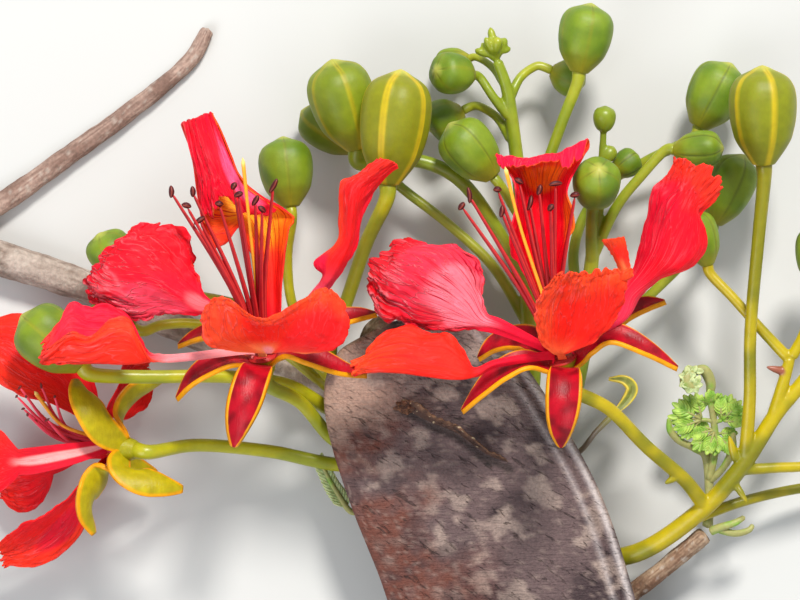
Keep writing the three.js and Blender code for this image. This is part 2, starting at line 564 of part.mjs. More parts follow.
        rib: [[-10, -2.5, -9], [-17, -6, -16], [-24, -8.5, -22], [-30, -10, -26.5], [-36, -11, -29]],
        facing: [[0.5, 0, 0.8], [0.4, 0, 1]],
        width: [10, 10],
        fold: [0.2, 0.2],
        claw: 0.55,
        ruffle: 1.6,
      },
    },
    sepals: {
      up_left: {
        rib: [[-3, 5, 8], [-6.5, 11, 9.5], [-9.5, 15.5, 7.5], [-11.5, 19, 3]],
        facing: [[-0.8, 0.3, -0.5], [-0.4, -0.2, -1]],
      },
      up_right: {
        rib: [[1, 8, -2], [4, 13.5, -3.5], [9, 17.5, -4], [15, 21, -6]],
        facing: [[-0.8, 0.5, -0.1], [-0.6, 0.6, -0.7]],
      },
      low_right: {
        rib: [[1.5, -5, 6], [6.5, -8, 8.5], [12.5, -9.8, 7.5], [18.5, -11.5, 4]],
        facing: [[-0.7, -0.4, -0.3], [-0.2, -0.4, -1]],
      },
      low: {
        rib: [[-3.5, -7, 1], [-7, -12.5, 4], [-8, -18, 4], [-6.5, -24, 1]],
        facing: [[-0.8, -0.5, 0.2], [-0.8, -0.1, -0.7]],
      },
      behind: {
        rib: [[0.5, -2, -8], [1.5, -4.5, -14], [5, -6.5, -18.5], [10, -8, -22]],
        facing: [[-0.9, -0.1, -0.4], [-0.8, 0, -0.6]],
      },
    },
    style: [[-8, 3.5, 0], [-16, 7, 2.5], [-23, 16, 3]],
    anthers: [
      [-27, 17, 4], [-25, 14.5, 7.5], [-28, 14.5, 2.5], [-21, 17.5, 5], [-20.5, 13, 2.5], [-24.5, 9.5, 9.5],
      [-26, 11, 4.5], [-22.5, 7.5, 3], [-19, 8, 8], [-17, 14.5, 8],
    ],
  },
};

// The point on a bloom's axis a given distance ahead of its rim, or behind it.
const onAxis = (bloom, ahead) =>
  vector(bloom.rim).addScaledVector(vector(bloom.axis).normalize(), ahead);
// The direction out from a bloom's axis at an angle round it, in degrees: 0 is the side that looks
// up from the table.
function aroundAxis(bloom, angle) {
  const axis = vector(bloom.axis).normalize();
  const front = new THREE.Vector3(0, 0, 1);
  front.addScaledVector(axis, -front.dot(axis)).normalize();
  return front.applyAxisAngle(axis, THREE.MathUtils.degToRad(angle));
}
// The direction out from a bloom's axis towards a point given from its rim.
function outward(bloom, place) {
  const axis = vector(bloom.axis).normalize();
  const out = vector(place);
  return out.addScaledVector(axis, -out.dot(axis)).normalize();
}
const fromRim = (bloom, places) => places.map((p) => vector(bloom.rim).add(vector(p)));

// The cup and its five sepals, one solid. grow thickens them, for cutting the petals clear.
function calyx(bloom, grow = 0) {
  const ends = [onAxis(bloom, -CUP_LENGTH - grow), onAxis(bloom, grow)];
  const cup = turned(...ends, CUP_RADII.map((radius) => radius + grow), 8);
  const sepals = Object.values(bloom.sepals).map((sepal) => {
    const out = outward(bloom, sepal.rib[0]);
    const root = onAxis(bloom, -SEPAL_FOOT.behind).addScaledVector(out, SEPAL_FOOT.out);
    return blade(
      {
        curl: [0.7, 0.7],
        ...sepal,
        rib: [root, ...fromRim(bloom, sepal.rib)],
        width: [SEPAL_HALF_WIDTH + grow, SEPAL_HALF_WIDTH + grow],
      },
      { outline: sepalOutline, thickness: SEPAL_THICKNESS + 2 * grow, steps: 5, half: 1 },
    );
  });
  return fuse([cup, ...sepals]);
}

// The direction of a run at one of its places: midway between the ways from the last and to the next.
function wayAt(places, at) {
  const ways = [at - 1, at]
    .filter((k) => k >= 0 && k + 1 < places.length)
    .map((k) => vector(places[k + 1]).sub(vector(places[k])).normalize());
  return ways.reduce((sum, way) => sum.add(way)).normalize();
}

// A thin sheet through rows of places, each from its left edge to its right edge.
function sheet(rows, thickness) {
  const rings = rows.map((row, ring) => {
    const upper = [];
    const lower = [];
    row.forEach((place, k) => {
      const on = wayAt(rows.map((other) => other[k]), ring);
      const normal = wayAt(row, k).cross(on).normalize();
      upper.push(vector(place).addScaledVector(normal, thickness / 2));
      lower.unshift(vector(place).addScaledVector(normal, -thickness / 2));
    });
    return [...upper, ...lower];
  });
  return loft(rings);
}

// One petal, standing on the ring of claws inside the cup's rim. It has either rows of places, with
// the rows of a small lobe that curls out of its margin, or a rib with its widths.
function petal(bloom, shape) {
  const out = aroundAxis(bloom, shape.seat);
  const foot = onAxis(bloom, CLAW_RISE.foot).addScaledVector(out, CLAW_RING);
  const bend = onAxis(bloom, CLAW_RISE.bend).addScaledVector(out, CLAW_RING + CLAW_RISE.out);
  if (shape.rows) {
    const across = vector(shape.rows[0].at(-1)).sub(vector(shape.rows[0][0])).setLength(CLAW_HALF_WIDTH);
    const claw = [foot, bend].map((p) =>
      shape.rows[0].map((_, k, row) => p.clone().addScaledVector(across, (2 * k) / (row.length - 1) - 1)),
    );
    const main = sheet([...claw, ...shape.rows.map((row) => fromRim(bloom, row))], PETAL_THICKNESS);
    return shape.lobe
      ? fuse([main, sheet(shape.lobe.map((row) => fromRim(bloom, row)), PETAL_THICKNESS)])
      : main;
  }
  const widest = Math.max(...shape.width);
  return blade(
    { ...shape, rib: [foot, bend, ...fromRim(bloom, shape.rib)] },
    {
      outline: petalOutline(shape.claw, widest, shape.throat ?? CLAW_HALF_WIDTH),
      thickness: PETAL_THICKNESS,
    },
  );
}

// The ten stamens and the style, on the knob that holds the ovary.
function stamens(bloom) {
  const knob = turned(...KNOB.ahead.map((ahead) => onAxis(bloom, ahead)), KNOB.radii, 6);
  // The feet stand on the knob as the anthers stand to one another, so that no filaments cross.
  const axis = vector(bloom.axis).normalize();
  const asides = bloom.anthers.map((place) => vector(place).projectOnPlane(axis));
  const centre = asides.reduce((sum, aside) => sum.clone().add(aside)).divideScalar(asides.length);
  const widest = Math.max(...asides.map((aside) => aside.distanceTo(centre)));
  const filaments = bloom.anthers.map((place, k) => {
    const [tip] = fromRim(bloom, [place]);
    const stand = asides[k].clone().sub(centre).multiplyScalar(KNOB_SPREAD / widest);
    const foot = onAxis(bloom, STAMEN_FOOT).add(stand);
    const rise = onAxis(bloom, FILAMENT_RISE * foot.distanceTo(tip)).add(stand);
    rise.addScaledVector(asides[k], 0.25);
    return limb({ points: [foot, rise, tip], ...FILAMENT });
  });
  const style = limb({
    points: [onAxis(bloom, STAMEN_FOOT), ...fromRim(bloom, bloom.style)],
    radii: STYLE_RADII,
    sides: 4,
    steps: 5,
  });
  return fuse([knob, style, ...filaments]);
}

// The buds: the middle of a bud's foot, its tip and its widest radius.
const BUDS = {
  left_bud_1: { foot: [-88.5, -18.5, 43], tip: [-105.5, -4.5, 44], radius: 8.5 },
  left_bud_2: { foot: [-78, 7.5, 27], tip: [-84.8, 18.5, 31], radius: 6.3 },
  left_bud_3: { foot: [-75, -8, 23], tip: [-88.5, -3.5, 22], radius: 6 },
  left_bud_4: { foot: [-3.5, 32, 36], tip: [0.2, 64.2, 38], radius: 9.6 },
  left_bud_5: { foot: [-31, 26, 24], tip: [-33.2, 46, 22], radius: 7.5 },
  top_bud_1: { foot: [-12, 42.5, 21.5], tip: [-19.3, 67.5, 27], radius: 9.1 },
  top_bud_2: { foot: [-12, 43, 10], tip: [-28, 54, 9], radius: 6.4 },
  top_bud_3: { foot: [20.5, 63.5, 22], tip: [10, 64.5, 31], radius: 5.8 },
  top_bud_4: { foot: [20, 68.8, 12], tip: [10.5, 66.5, 8], radius: 4.4 },
  top_bud_5: { foot: [18, 54, 13], tip: [8, 49, 14], radius: 6 },
  top_bud_6: { foot: [26.5, 34.5, 28], tip: [14, 49.5, 30], radius: 7.5 },
  top_bud_7: { foot: [43, 65.5, 14], tip: [52.5, 61.5, 13], radius: 5.2 },
  top_bud_8: { foot: [50.5, 64, 26], tip: [54, 83.5, 27], radius: 7.5 },
  middle_bud_1: { foot: [84.5, 49, 17], tip: [94, 67, 18], radius: 7.9 },
  middle_bud_2: { foot: [77, 42.3, 28], tip: [91, 42.8, 31.5], radius: 5 },
  middle_bud_3: { foot: [89, 21.5, 17], tip: [97.5, 41, 20], radius: 6.9 },
  middle_bud_4: { foot: [54.5, 27.5, 31], tip: [55.5, 36.5, 46], radius: 6.6 },
  middle_bud_5: { foot: [60.5, 36, 23], tip: [67.5, 41, 21], radius: 4 },
  right_bud_1: { foot: [102, 37.5, 38], tip: [101.4, 65.2, 41], radius: 9.2 },
  right_bud_2: { foot: [87, 9.5, 29], tip: [82.5, 25, 31], radius: 5.2 },
  right_bud_3: { foot: [131, -37.5, 20], tip: [139, -20, 22], radius: 7.4 },
  right_bud_4: { foot: [129, -54, 7.8], tip: [147, -60, 7.1], radius: 7.4 },
  right_bud_5: { foot: [117.5, 4, 29], tip: [118, 21, 32], radius: 6.4 },
};
// A bud's radius along its length, as shares of its widest: a short neck, an egg shape and a nib.
const BUD_SHAPE = [0.32, 0.62, 0.84, 0.95, 1, 0.97, 0.79, 0.16];

const BIG_BUD = 8; // buds with a wider radius than this are turned with more sides

const bud = ({ foot, tip, radius }) =>
  turned(foot, tip, BUD_SHAPE.map((share) => share * radius), radius > BIG_BUD ? 10 : 8);
// The last two points of a stalk: in line with the bud or bloom it carries, and just short of it.
const budSeat = ({ foot, tip, radius }) => {
  const back = vector(foot).sub(vector(tip)).normalize();
  return [GAP + 0.45 * radius, GAP].map((d) => vector(foot).addScaledVector(back, d));
};
const CUP_APPROACH = 4.5; // the length before a cup in which its stalk is straight
const bloomSeat = (bloom) => [CUP_APPROACH, GAP].map((d) => onAxis(bloom, -CUP_LENGTH - d));

// The racemes. Each is a green rachis with a stalk for each of its blooms and buds, in one solid.
// A stalk's foot lies inside its rachis, and its last point is the seat of what it carries.
const stalk = (points, seat, radii = [1.7, 1.5, 1.5, 1.7]) => ({ points: [...points, ...seat], radii });
// A tiny bud at a raceme's tip, still part of its stalk.
const tiny = (foot, tip, radius) => {
  const radii = BUD_SHAPE.map((share) => share * radius);
  return { points: [foot, tip], radii, sides: 5, steps: 4 };
};
// A small pointed scale where a stalk leaves its rachis.
const bract = (foot, tip, radius) => {
  const radii = [radius, radius, 0.35];
  return { points: [foot, tip], radii, sides: 4, steps: 2 };
};
const BLOOM_STALK = [2.2, 2, 1.9, 2, 2.5];
const BIG_BUD_STALK = [2.1, 2, 2, 2.1, 2.6];

const RACEMES = {
  raceme_left: [
    {
      sides: 7,
      points: [[16, -46, 12], [8, -43.5, 14.8], [-2, -40, 15.4], [-11, -34, 15.8]],
      radii: [RACHIS_RADIUS, 2.4, 2.2, 2],
    },
    stalk(
      [[0, -41, 15.4], [-9, -43, 16], [-19, -39.5, 18.5], [-28, -29, 29]],
      bloomSeat(BLOOMS.bloom_left),
      BLOOM_STALK,
    ),
    stalk(
      [[5, -43, 15], [-15, -47, 14.5], [-37, -43, 18], [-57, -41, 27]],
      bloomSeat(BLOOMS.bloom_side),
      BLOOM_STALK,
    ),
    stalk(
      [[-8, -36, 15.8], [-20, -31, 17.5], [-32, -24, 26], [-49, -21.5, 35], [-70, -21.5, 40.5]],
      budSeat(BUDS.left_bud_1),
      BLOOM_STALK,
    ),
    stalk(
      [[-10, -34, 15.8], [-24, -22, 17], [-38, -12, 17.5], [-56, -7, 20], [-67, -7, 22.5]],
      budSeat(BUDS.left_bud_3),
    ),
    stalk([[-10, -34, 15.8], [-24, -18, 20.5], [-42, -3, 21], [-62, 2, 22]], budSeat(BUDS.left_bud_2)),
    stalk(
      [[-10.5, -34, 16], [-18.5, -24, 20], [-19.5, -12, 22], [-15, 0, 24], [-9.5, 16, 30]],
      budSeat(BUDS.left_bud_4),
      BIG_BUD_STALK,
    ),
    stalk(
      [[-10.5, -33.5, 15.6], [-23, -18, 13.5], [-30.5, -2, 13], [-32, 12, 18]],
      budSeat(BUDS.left_bud_5),
    ),
  ],
  raceme_top: [
    {
      sides: 7,
      points: [
        [17, -47, 10], [30, -42, 11], [37.5, -25, 12], [36.5, 0, 14], [34.5, 28, 17], [31.5, 53, 19],
        [30, 61, 20], [27.5, 68, 21],
      ],
      radii: [RACHIS_RADIUS, 2.5, 2.4, 2.3, 2.1, 1.9, 1.7, 1.5],
      steps: 10,
    },
    stalk(
      [[36.5, 2, 14], [30, 16, 15.5], [18, 33, 20], [5, 39.5, 20]],
      budSeat(BUDS.top_bud_1),
      BIG_BUD_STALK,
    ),
    stalk([[37, -8, 13], [27, 9, 11.5], [14, 21.5, 11], [0.5, 32, 10]], budSeat(BUDS.top_bud_2)),
    stalk([[31.5, 51, 19], [26.5, 57.5, 20.5]], budSeat(BUDS.top_bud_3), [1.5, 1.3, 1.4]),
    stalk([[30.2, 60, 20], [26.5, 66, 16]], budSeat(BUDS.top_bud_4), [1.3, 1.1, 1.2]),
    stalk([[32.3, 44, 18.2], [28, 51.5, 16], [23, 55, 14]], budSeat(BUDS.top_bud_5), [1.5, 1.3, 1.3, 1.4]),
    stalk([[35, 22, 16.5], [31.5, 27.5, 21]], budSeat(BUDS.top_bud_6), [1.6, 1.4, 1.6]),
    stalk(
      [[30.7, 56, 19.4], [34, 63, 17], [38.5, 66.5, 14.5]],
      budSeat(BUDS.top_bud_7),
      [1.5, 1.3, 1.3, 1.4],
    ),
    stalk([[35.5, 15, 15.7], [39, 30, 20], [45, 48, 24.5]], budSeat(BUDS.top_bud_8), [1.7, 1.6, 1.7, 2.1]),
    tiny([27.5, 68, 21], [26.5, 75, 22], 2.4),
    tiny([28, 67.5, 21], [23, 73, 22], 1.6),
  ],
  raceme_middle: [
    {
      sides: 7,
      points: [
        [19, -49, 9], [32, -49, 10.5], [46, -36, 12], [52.5, -13, 17], [54, 8, 22.5], [56, 25, 24.5],
        [57, 38, 25.5], [57.5, 48, 27],
      ],
      radii: [RACHIS_RADIUS, 2.5, 2.4, 2.2, 2.1, 1.7, 1.2, 0.9],
      steps: 10,
    },
    stalk([[52.5, -8, 18], [49.5, 14, 13], [57, 31, 12], [70, 39.5, 14]], budSeat(BUDS.middle_bud_1)),
    stalk([[54.5, 12, 23], [61, 26, 26.5], [68.5, 35.5, 27.5]], budSeat(BUDS.middle_bud_2)),
    stalk([[52.5, -13, 17], [61, -7.5, 15], [76, 6, 15.5]], budSeat(BUDS.middle_bud_3)),
    stalk([[54.3, 10, 22.8], [54, 19, 27.5]], budSeat(BUDS.middle_bud_4), [1.8, 1.7, 2]),
    stalk([[56.5, 29, 24.8], [58.3, 33, 24]], budSeat(BUDS.middle_bud_5), [1.1, 1, 1.1]),
    tiny([57.4, 47, 27], [58, 55, 28], 3.3),
    tiny([57, 38.5, 25.8], [60.6, 43.5, 25.2], 2.2),
  ],
  raceme_right: [
    {
      sides: 7,
      points: [
        [18, -50, 8.5], [28, -62, 9], [45, -72, 10], [66, -72.5, 14], [85, -60, 21], [97, -46.5, 25],
        [106, -32.5, 27], [113, -24, 27.5], [123, -10, 27], [128, 4, 26],
      ],
      radii: [2.6, 2.7, 2.7, 2.7, 2.6, 2.4, 2.2, 2, 1.7, 1.4],
      steps: 14,
    },
    { points: [[105, -34, 26.8], [108.5, -22, 29], [110, -16, 29.5]], radii: [1.9, 1.7, 1.6] },
    stalk(
      [[86.5, -58.5, 21.5], [80, -50.5, 29], [69, -41, 37], [58.5, -30.5, 42.5]],
      bloomSeat(BLOOMS.bloom_right),
      BLOOM_STALK,
    ),
    stalk(
      [[97.5, -45.5, 25], [98.5, -28, 31], [98.5, -8.5, 34.5], [100.5, 17, 37.5]],
      budSeat(BUDS.right_bud_1),
      [2, 1.8, 1.8, 2, 2.5],
    ),
    stalk([[110, -17, 29.5], [102, -8.5, 30], [94, 0.5, 29.5]], budSeat(BUDS.right_bud_2)),
    stalk([[96, -48, 24.7], [106, -47.5, 23], [118, -46.5, 20.5]], budSeat(BUDS.right_bud_3)),
    stalk([[80, -63.5, 19], [97, -57.5, 15], [113, -54, 10.5]], budSeat(BUDS.right_bud_4)),
    stalk([[110, -17, 29.5], [114, -9, 30.5]], budSeat(BUDS.right_bud_5)),
    bract([95, -46, 25.5], [92.8, -38, 28], 1.2),
    bract([94.5, -51.5, 24], [98.3, -57.5, 25.5], 1),
    bract([78.5, -49.5, 30.5], [74.3, -51.8, 32], 1),
    bract([109.5, -20.5, 29], [103, -18.8, 31], 1.1),
    tiny([128, 3.5, 26], [129, 11.5, 25.5], 2.8),
    tiny([127, 1, 26.2], [132.5, 6, 26.5], 2.1),
  ],
};
const raceme = (runs, grow = 0) => fuse(runs.map((run) => limb(run, grow)));

// Young leaves: stems with leaflets fused on. A fan spreads leaflets round the end of a stem, and
// a feather sets them in pairs along one.
const leaflet = (foot, direction, facing, length, width) => {
  const way = vector(direction).normalize();
  const side = way.clone().cross(vector(facing)).normalize();
  const up = side.clone().cross(way);
  const rings = [-0.12, 0.45, 1].map((share) => {
    const half = width * leafletOutline(Math.max(0, share));
    const centre = vector(foot).addScaledVector(way, share * length);
    return [[1, 0], [0, 1], [-1, 0], [0, -1]].map(([across, over]) =>
      centre
        .clone()
        .addScaledVector(side, across * half)
        .addScaledVector(up, over * LEAFLET_THICKNESS / 2),
    );
  });
  return loft(rings);
};

function fan({ foot, heading, facing, count, length }) {
  const face = vector(facing).normalize();
  const way = vector(heading).projectOnPlane(face).normalize();
  const side = way.clone().cross(face);
  const shape = new THREE.Shape();
  const spread = (turn, reach) => [reach * Math.sin(turn), reach * Math.cos(turn)];
  shape.moveTo(0, -0.08 * length);
  for (let k = 0; k <= count; k++) {
    const turn = mix(-FAN_SPREAD, FAN_SPREAD, k / count);
    shape.lineTo(...spread(turn, FAN_CLEFT * length));
    const tip = turn + FAN_SPREAD / count;
    const reach = length * mix(1, 0.72, Math.abs(tip) / FAN_SPREAD); // shorter towards the sides
    if (k < count) shape.lineTo(...spread(tip, reach));
  }
  const flat = new THREE.ExtrudeGeometry(shape, { depth: LEAFLET_THICKNESS, bevelEnabled: false });
  flat.translate(0, 0, -LEAFLET_THICKNESS / 2);
  flat.applyMatrix4(new THREE.Matrix4().makeBasis(side, way, side.clone().cross(way)).setPosition(...foot));
  return solidOf(flat);
}

function feather({ points, facing, pairs, length, from = 0.25 }) {
  const curve = new THREE.CatmullRomCurve3(points.map(vector), false, "catmullrom", 0.5);
  const face = vector(facing).normalize();
  return Array.from({ length: 2 * pairs }, (_, k) => {
    const t = mix(from, 0.97, Math.floor(k / 2) / (pairs - 1));
    const hand = k % 2 ? 1 : -1;
    const way = curve.getTangent(t).applyAxisAngle(face, hand * LEAFLET_TURN);
    return leaflet(curve.getPoint(t), way, face, length * mix(1, 0.6, t), LEAFLET_HALF_WIDTH);
  });
}

const SHOOT_STEMS = [
  {
    points: [
      [87.5, -65, 15.5], [88.2, -56, 12], [87.5, -45, 12], [84, -42.3, 13], [79.5, -40, 15], [76.8, -37, 17],
      [76.4, -33.5, 18],
    ],
    radii: [1.6, 1.3, 1.4, 1.1, 1.1, 1, 0.6],
    steps: 9,
  },
  {
    points: [
      [88, -52, 12], [89.8, -42, 14], [89.2, -34, 16], [88.1, -27.5, 18], [88.2, -23.6, 19], [86.3, -20, 20],
      [83, -20.3, 21],
    ],
    radii: [1.2, 1.1, 1, 1.1, 1.5, 1.6, 1.1],
    steps: 8,
  },
  {
    points: [[88, -52, 12], [92, -48, 13], [94.5, -43, 15], [94.8, -37.5, 17]],
    radii: [1.1, 1, 1.2, 0.7],
    steps: 4,
  },
];
const SHOOT_FANS = [
  { foot: [85.8, -34, 16.5], heading: [-1, 0.3, 0.25], facing: [0.1, -0.1, 1], count: 6, length: 9 },
  { foot: [91.5, -34.3, 16.5], heading: [0.5, 0.8, 0.2], facing: [-0.1, -0.2, 1], count: 6, length: 7.5 },
  { foot: [89.6, -37, 15.5], heading: [-0.7, -0.6, 0.2], facing: [0, 0.2, 1], count: 5, length: 7.5 },
  { foot: [89.8, -38, 15], heading: [0.6, -0.6, 0.1], facing: [0.1, 0.2, 1], count: 3, length: 7 },
  { foot: [88.6, -30, 17], heading: [-0.1, 0.5, 0.5], facing: [0.2, -0.6, 0.9], count: 3, length: 5 },
];
const SHOOT_ARMS = [
  {
    points: [[89.2, -34.6, 16], [87.5, -34.2, 16.2], [85.4, -34, 16.5]],
    radii: [0.7, 0.6, 0.6],
    sides: 4,
    steps: 2,
  },
  {
    points: [[89.2, -35, 15.8], [90.5, -34.5, 16.2], [91.8, -34.1, 16.6]],
    radii: [0.7, 0.6, 0.6],
    sides: 4,
    steps: 2,
  },
];
const NUB_STEMS = [
  {
    points: [[88, -65.8, 18.4], [91, -64.5, 20], [95, -63.2, 20], [98, -61.5, 19]],
    radii: [1.3, 1.2, 1, 0.7],
    sides: 5,
    steps: 5,
  },
  {
    points: [[90, -65, 19.5], [95, -66.3, 18.5], [99, -65.5, 17], [100.5, -63.8, 16.5]],
    radii: [1.1, 1, 0.9, 0.6],
    sides: 5,
    steps: 5,
  },
];
const YOUNG_LEAF = {
  points: [
    [2, -38.5, 8], [-3, -46, 9], [-9, -56, 10], [-13.5, -60.5, 12], [-18.5, -54, 14], [-22.8, -46, 15.5],
  ],
  radii: [1, 0.9, 0.9, 0.9, 0.8, 0.5],
  sides: 5,
  steps: 10,
};
const YOUNG_FRUIT_STEM = {
  points: [[44.5, -38.2, 12.6], [50, -43.5, 16.5], [56, -37, 20], [61, -31.8, 22.5]],
  radii: [0.9, 0.8, 0.8, 1],
  sides: 6,
  steps: 6,
};
const YOUNG_FRUIT_THICKNESS = 1.2;
const YOUNG_FRUIT = {
  rib: [[60.3, -32.5, 22], [64, -28.5, 24], [65.5, -25, 25], [63.3, -22.6, 25.3], [59, -22.3, 25]],
  facing: [[0.2, 0.1, 1]],
  width: [2.3, 2.3],
};

// Everything, in the order in which pieces are cut clear of those that carry them.
const solids = {};
const branch = limb(branchRun);
const branchSpace = limb(branchRun, GAP);
solids.woody_branch = branch;
solids.side_twig = clearOf(limb(sideTwigRun), [branchSpace]);
solids.leaf_twig = clearOf(limb(leafTwigRun), [branchSpace]);
solids.pod_stalk = clearOf(limb(podStalkRun), [branchSpace]);
const twigSpace = limb(leafTwigRun, GAP);
const podStalkSpace = limb(podStalkRun, GAP);
solids.pod = clearOf(pod(), [podStalkSpace]);
const taken = [branchSpace, twigSpace, podStalkSpace];
for (const name of ["raceme_right", "raceme_middle", "raceme_top", "raceme_left"]) {
  solids[name] = clearOf(raceme(RACEMES[name]), taken);
  taken.push(raceme(RACEMES[name], GAP));
}
for (const [name, shape] of Object.entries(BUDS)) solids[name] = bud(shape);
for (const [name, bloom] of Object.entries(BLOOMS)) {
  const space = calyx(bloom, GAP);
  solids[name + "_calyx"] = calyx(bloom);
  solids[name + "_stamens"] = stamens(bloom);
  for (const [side, shape] of Object.entries(bloom.petals))
    solids[name + "_petal_" + side] = clearOf(petal(bloom, shape), [space]);
}
solids.leaf_shoot = clearOf(
  fuse([...SHOOT_STEMS, ...SHOOT_ARMS].map((s) => limb(s)).concat(SHOOT_FANS.map(fan))),
  [twigSpace],
);
solids.leaf_buds = clearOf(fuse(NUB_STEMS.map((s) => limb(s))), [twigSpace]);
solids.young_leaf = clearOf(
  fuse([
    limb(YOUNG_LEAF),
    ...feather({ points: YOUNG_LEAF.points.slice(3), facing: [0.2, 0.1, 1], pairs: 6, length: 6 }),
  ]),
  [twigSpace, branchSpace, raceme(RACEMES.raceme_left, GAP)],
);
solids.young_fruit = clearOf(
  fuse([
    limb(YOUNG_FRUIT_STEM),
    blade(YOUNG_FRUIT, { outline: leafletOutline, thickness: YOUNG_FRUIT_THICKNESS, steps: 6, half: 1 }),
  ]),
  [raceme(RACEMES.raceme_middle, GAP)],
);

// Colours and roughness by kind of piece.
const FINISHES = {
  bark: [0x9a8171, 0.9],
  pod: [0x6b5450, 0.8],
  stalk: [0x9aa61c, 0.45],
  bud: [0x86a136, 0.4],
  calyx: [0xb9122c, 0.5],
  petal: [0xe8201c, 0.6],
  stamen: [0xa81024, 0.5],
  leaf: [0x8fbf52, 0.6],
};
const kindOf = (name) => {
  if (name === "pod") return "pod";
  if (name.endsWith("branch") || name.endsWith("twig") || name === "pod_stalk") return "bark";
  if (name.startsWith("raceme") || name === "young_fruit") return "stalk";
  if (name.includes("_bud_")) return "bud";
  if (name.endsWith("calyx")) return "calyx";
  if (name.endsWith("stamens")) return "stamen";
  return name.includes("petal") ? "petal" : "leaf";
};

// The surface of a solid.
function geometryOf(solid) {
  const { numProp, vertProperties, triVerts } = solid.getMesh();
  const position = Array.from({ length: vertProperties.length / numProp }, (_, k) =>
    Array.from(vertProperties.subarray(k * numProp, k * numProp + 3)),
  ).flat();
  return new THREE.BufferGeometry()
    .setAttribute("position", new THREE.Float32BufferAttribute(position, 3))
    .setIndex(Array.from(triVerts));
}

const part = new THREE.Group();
for (const [name, solid] of Object.entries(solids)) {
  const [color, roughness] = FINISHES[kindOf(name)];
  const material = new THREE.MeshStandardMaterial({ color, roughness, metalness: 0 });
  const mesh = new THREE.Mesh(geometryOf(solid.simplify(FINEST)), material);
  mesh.name = name;
  part.add(mesh);
}
// The origin is on the table, below the middle of the whole branch.
const box = new THREE.Box3().setFromObject(part);
const middle = box.getCenter(new THREE.Vector3());
part.position.set(-middle.x, -middle.y, -box.min.z);

export default part;
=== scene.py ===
# A cut branch of a flame tree that lies on a pale floor, seen from straight above: a woody branch with
# its twigs, green racemes with three open blooms and their buds, one ripe pod and the young leaves.
# Places are in millimetres in the view's own frame: +X right, +Y up in the view, +Z towards the eye.
import math

import bpy
import numpy as np
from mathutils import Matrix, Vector, noise


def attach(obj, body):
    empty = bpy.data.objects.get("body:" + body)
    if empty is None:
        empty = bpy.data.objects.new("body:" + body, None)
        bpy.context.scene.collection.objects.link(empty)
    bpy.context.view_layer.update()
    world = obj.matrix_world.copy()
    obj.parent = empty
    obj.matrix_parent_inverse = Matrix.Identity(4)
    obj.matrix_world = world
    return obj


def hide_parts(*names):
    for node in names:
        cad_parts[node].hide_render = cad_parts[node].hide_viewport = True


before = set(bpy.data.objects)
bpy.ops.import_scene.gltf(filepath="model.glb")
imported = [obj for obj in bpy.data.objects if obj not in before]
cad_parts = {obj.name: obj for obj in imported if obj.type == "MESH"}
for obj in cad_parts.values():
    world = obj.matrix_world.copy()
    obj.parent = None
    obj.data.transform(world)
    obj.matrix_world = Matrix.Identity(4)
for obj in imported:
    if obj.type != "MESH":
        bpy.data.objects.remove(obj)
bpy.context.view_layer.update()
bpy.ops.object.select_all(action="DESELECT")


# The camera
# It hangs over the blooms and looks straight down on the floor, with the view's upward side along +Y.
MM = 0.001
VIEW_CENTRE = np.array([-3.66, 123.26, 0.01])  # where the middle of the view lies in the part's frame
EYE_HEIGHT = 1540
VIEW_WIDTH = 224  # how much of the width shows at the height of the stalks
STALK_HEIGHT = 40
SENSOR = 36


def floats(numbers):
    return np.asarray(numbers, float)


def placed(points):
    """Places in the view's frame as places in the part's frame, in metres."""
    return (floats(points) + VIEW_CENTRE) * MM


bpy.ops.object.camera_add(location=placed([0, 0, EYE_HEIGHT]), rotation=(0, 0, 0))
camera = bpy.context.object
camera.name = "camera"
camera.data.sensor_width = SENSOR
camera.data.lens = SENSOR * (EYE_HEIGHT - STALK_HEIGHT) / VIEW_WIDTH
camera.data.clip_end = 20
bpy.context.scene.camera = camera
bpy.context.scene.view_settings.view_transform = "Standard"


# The woody branch and its twigs
# Dry brown-grey wood of some years' growth, rough with lengthwise cracks, lenticels and old bud scars.
# The branch is cut at its left end, and the side twig and the leafing twig grow out of it. A run is
# a list of places and the radii along it.
BRANCH_RUN = (
    [
        [-140, 16, 5.5], [-126, 16, 5.5], [-113, 11.5, 5.4], [-90, 4, 5.2], [-62, -8.5, 5], [-30, -21, 5.4],
        [-4, -35, 7], [16, -48, 9],
    ],
    [5.5, 5.4, 5, 4.6, 4.2, 3.8, 3.6, 4.2],
)
SIDE_TWIG_RUN = (
    [
        [-131, 16, 5.5], [-125, 22, 5.2], [-114, 28, 4.6], [-97, 40, 3.6], [-77, 54.5, 2.8], [-61, 68, 2.2],
        [-55, 78, 1.8],
    ],
    [3.8, 3.6, 3.2, 2.9, 2.6, 2.3, 1.9],
)
LEAF_TWIG_RUN = (
    [
        [2, -39, 7.5], [10, -56, 4], [24, -75, 2.75], [42, -88, 3], [57, -89, 5.6], [68.5, -82, 10],
        [78, -74, 14], [87, -66.5, 17],
    ],
    [3, 3, 2.8, 2.6, 2.6, 2.6, 2.5, 2.7],
)
POD_STALK_RUN = (
    [[-9, -32, 6.5], [-9.5, -24, 10], [-9.5, -15, 16.5], [-8, -9, 24], [-3.4, -6.5, 29.6]],
    [3.2, 2.7, 2.5, 2.6, 3.2],
)
# Each run's light and dark bark, and how far its lumps stand out.
BARKS = {
    "woody_branch": (BRANCH_RUN, (186, 170, 158), (136, 118, 106), 0.5),
    "side_twig": (SIDE_TWIG_RUN, (178, 150, 136), (132, 104, 92), 0.3),
    "leaf_twig": (LEAF_TWIG_RUN, (176, 148, 122), (124, 92, 72), 0.3),
    "pod_stalk": (POD_STALK_RUN, (150, 134, 108), (104, 88, 66), 0.2),
}
BARK_ROUGHNESS = 0.85
BARK_STREAKS = 0.3
BARK_SPOTS = (196, 184, 172)


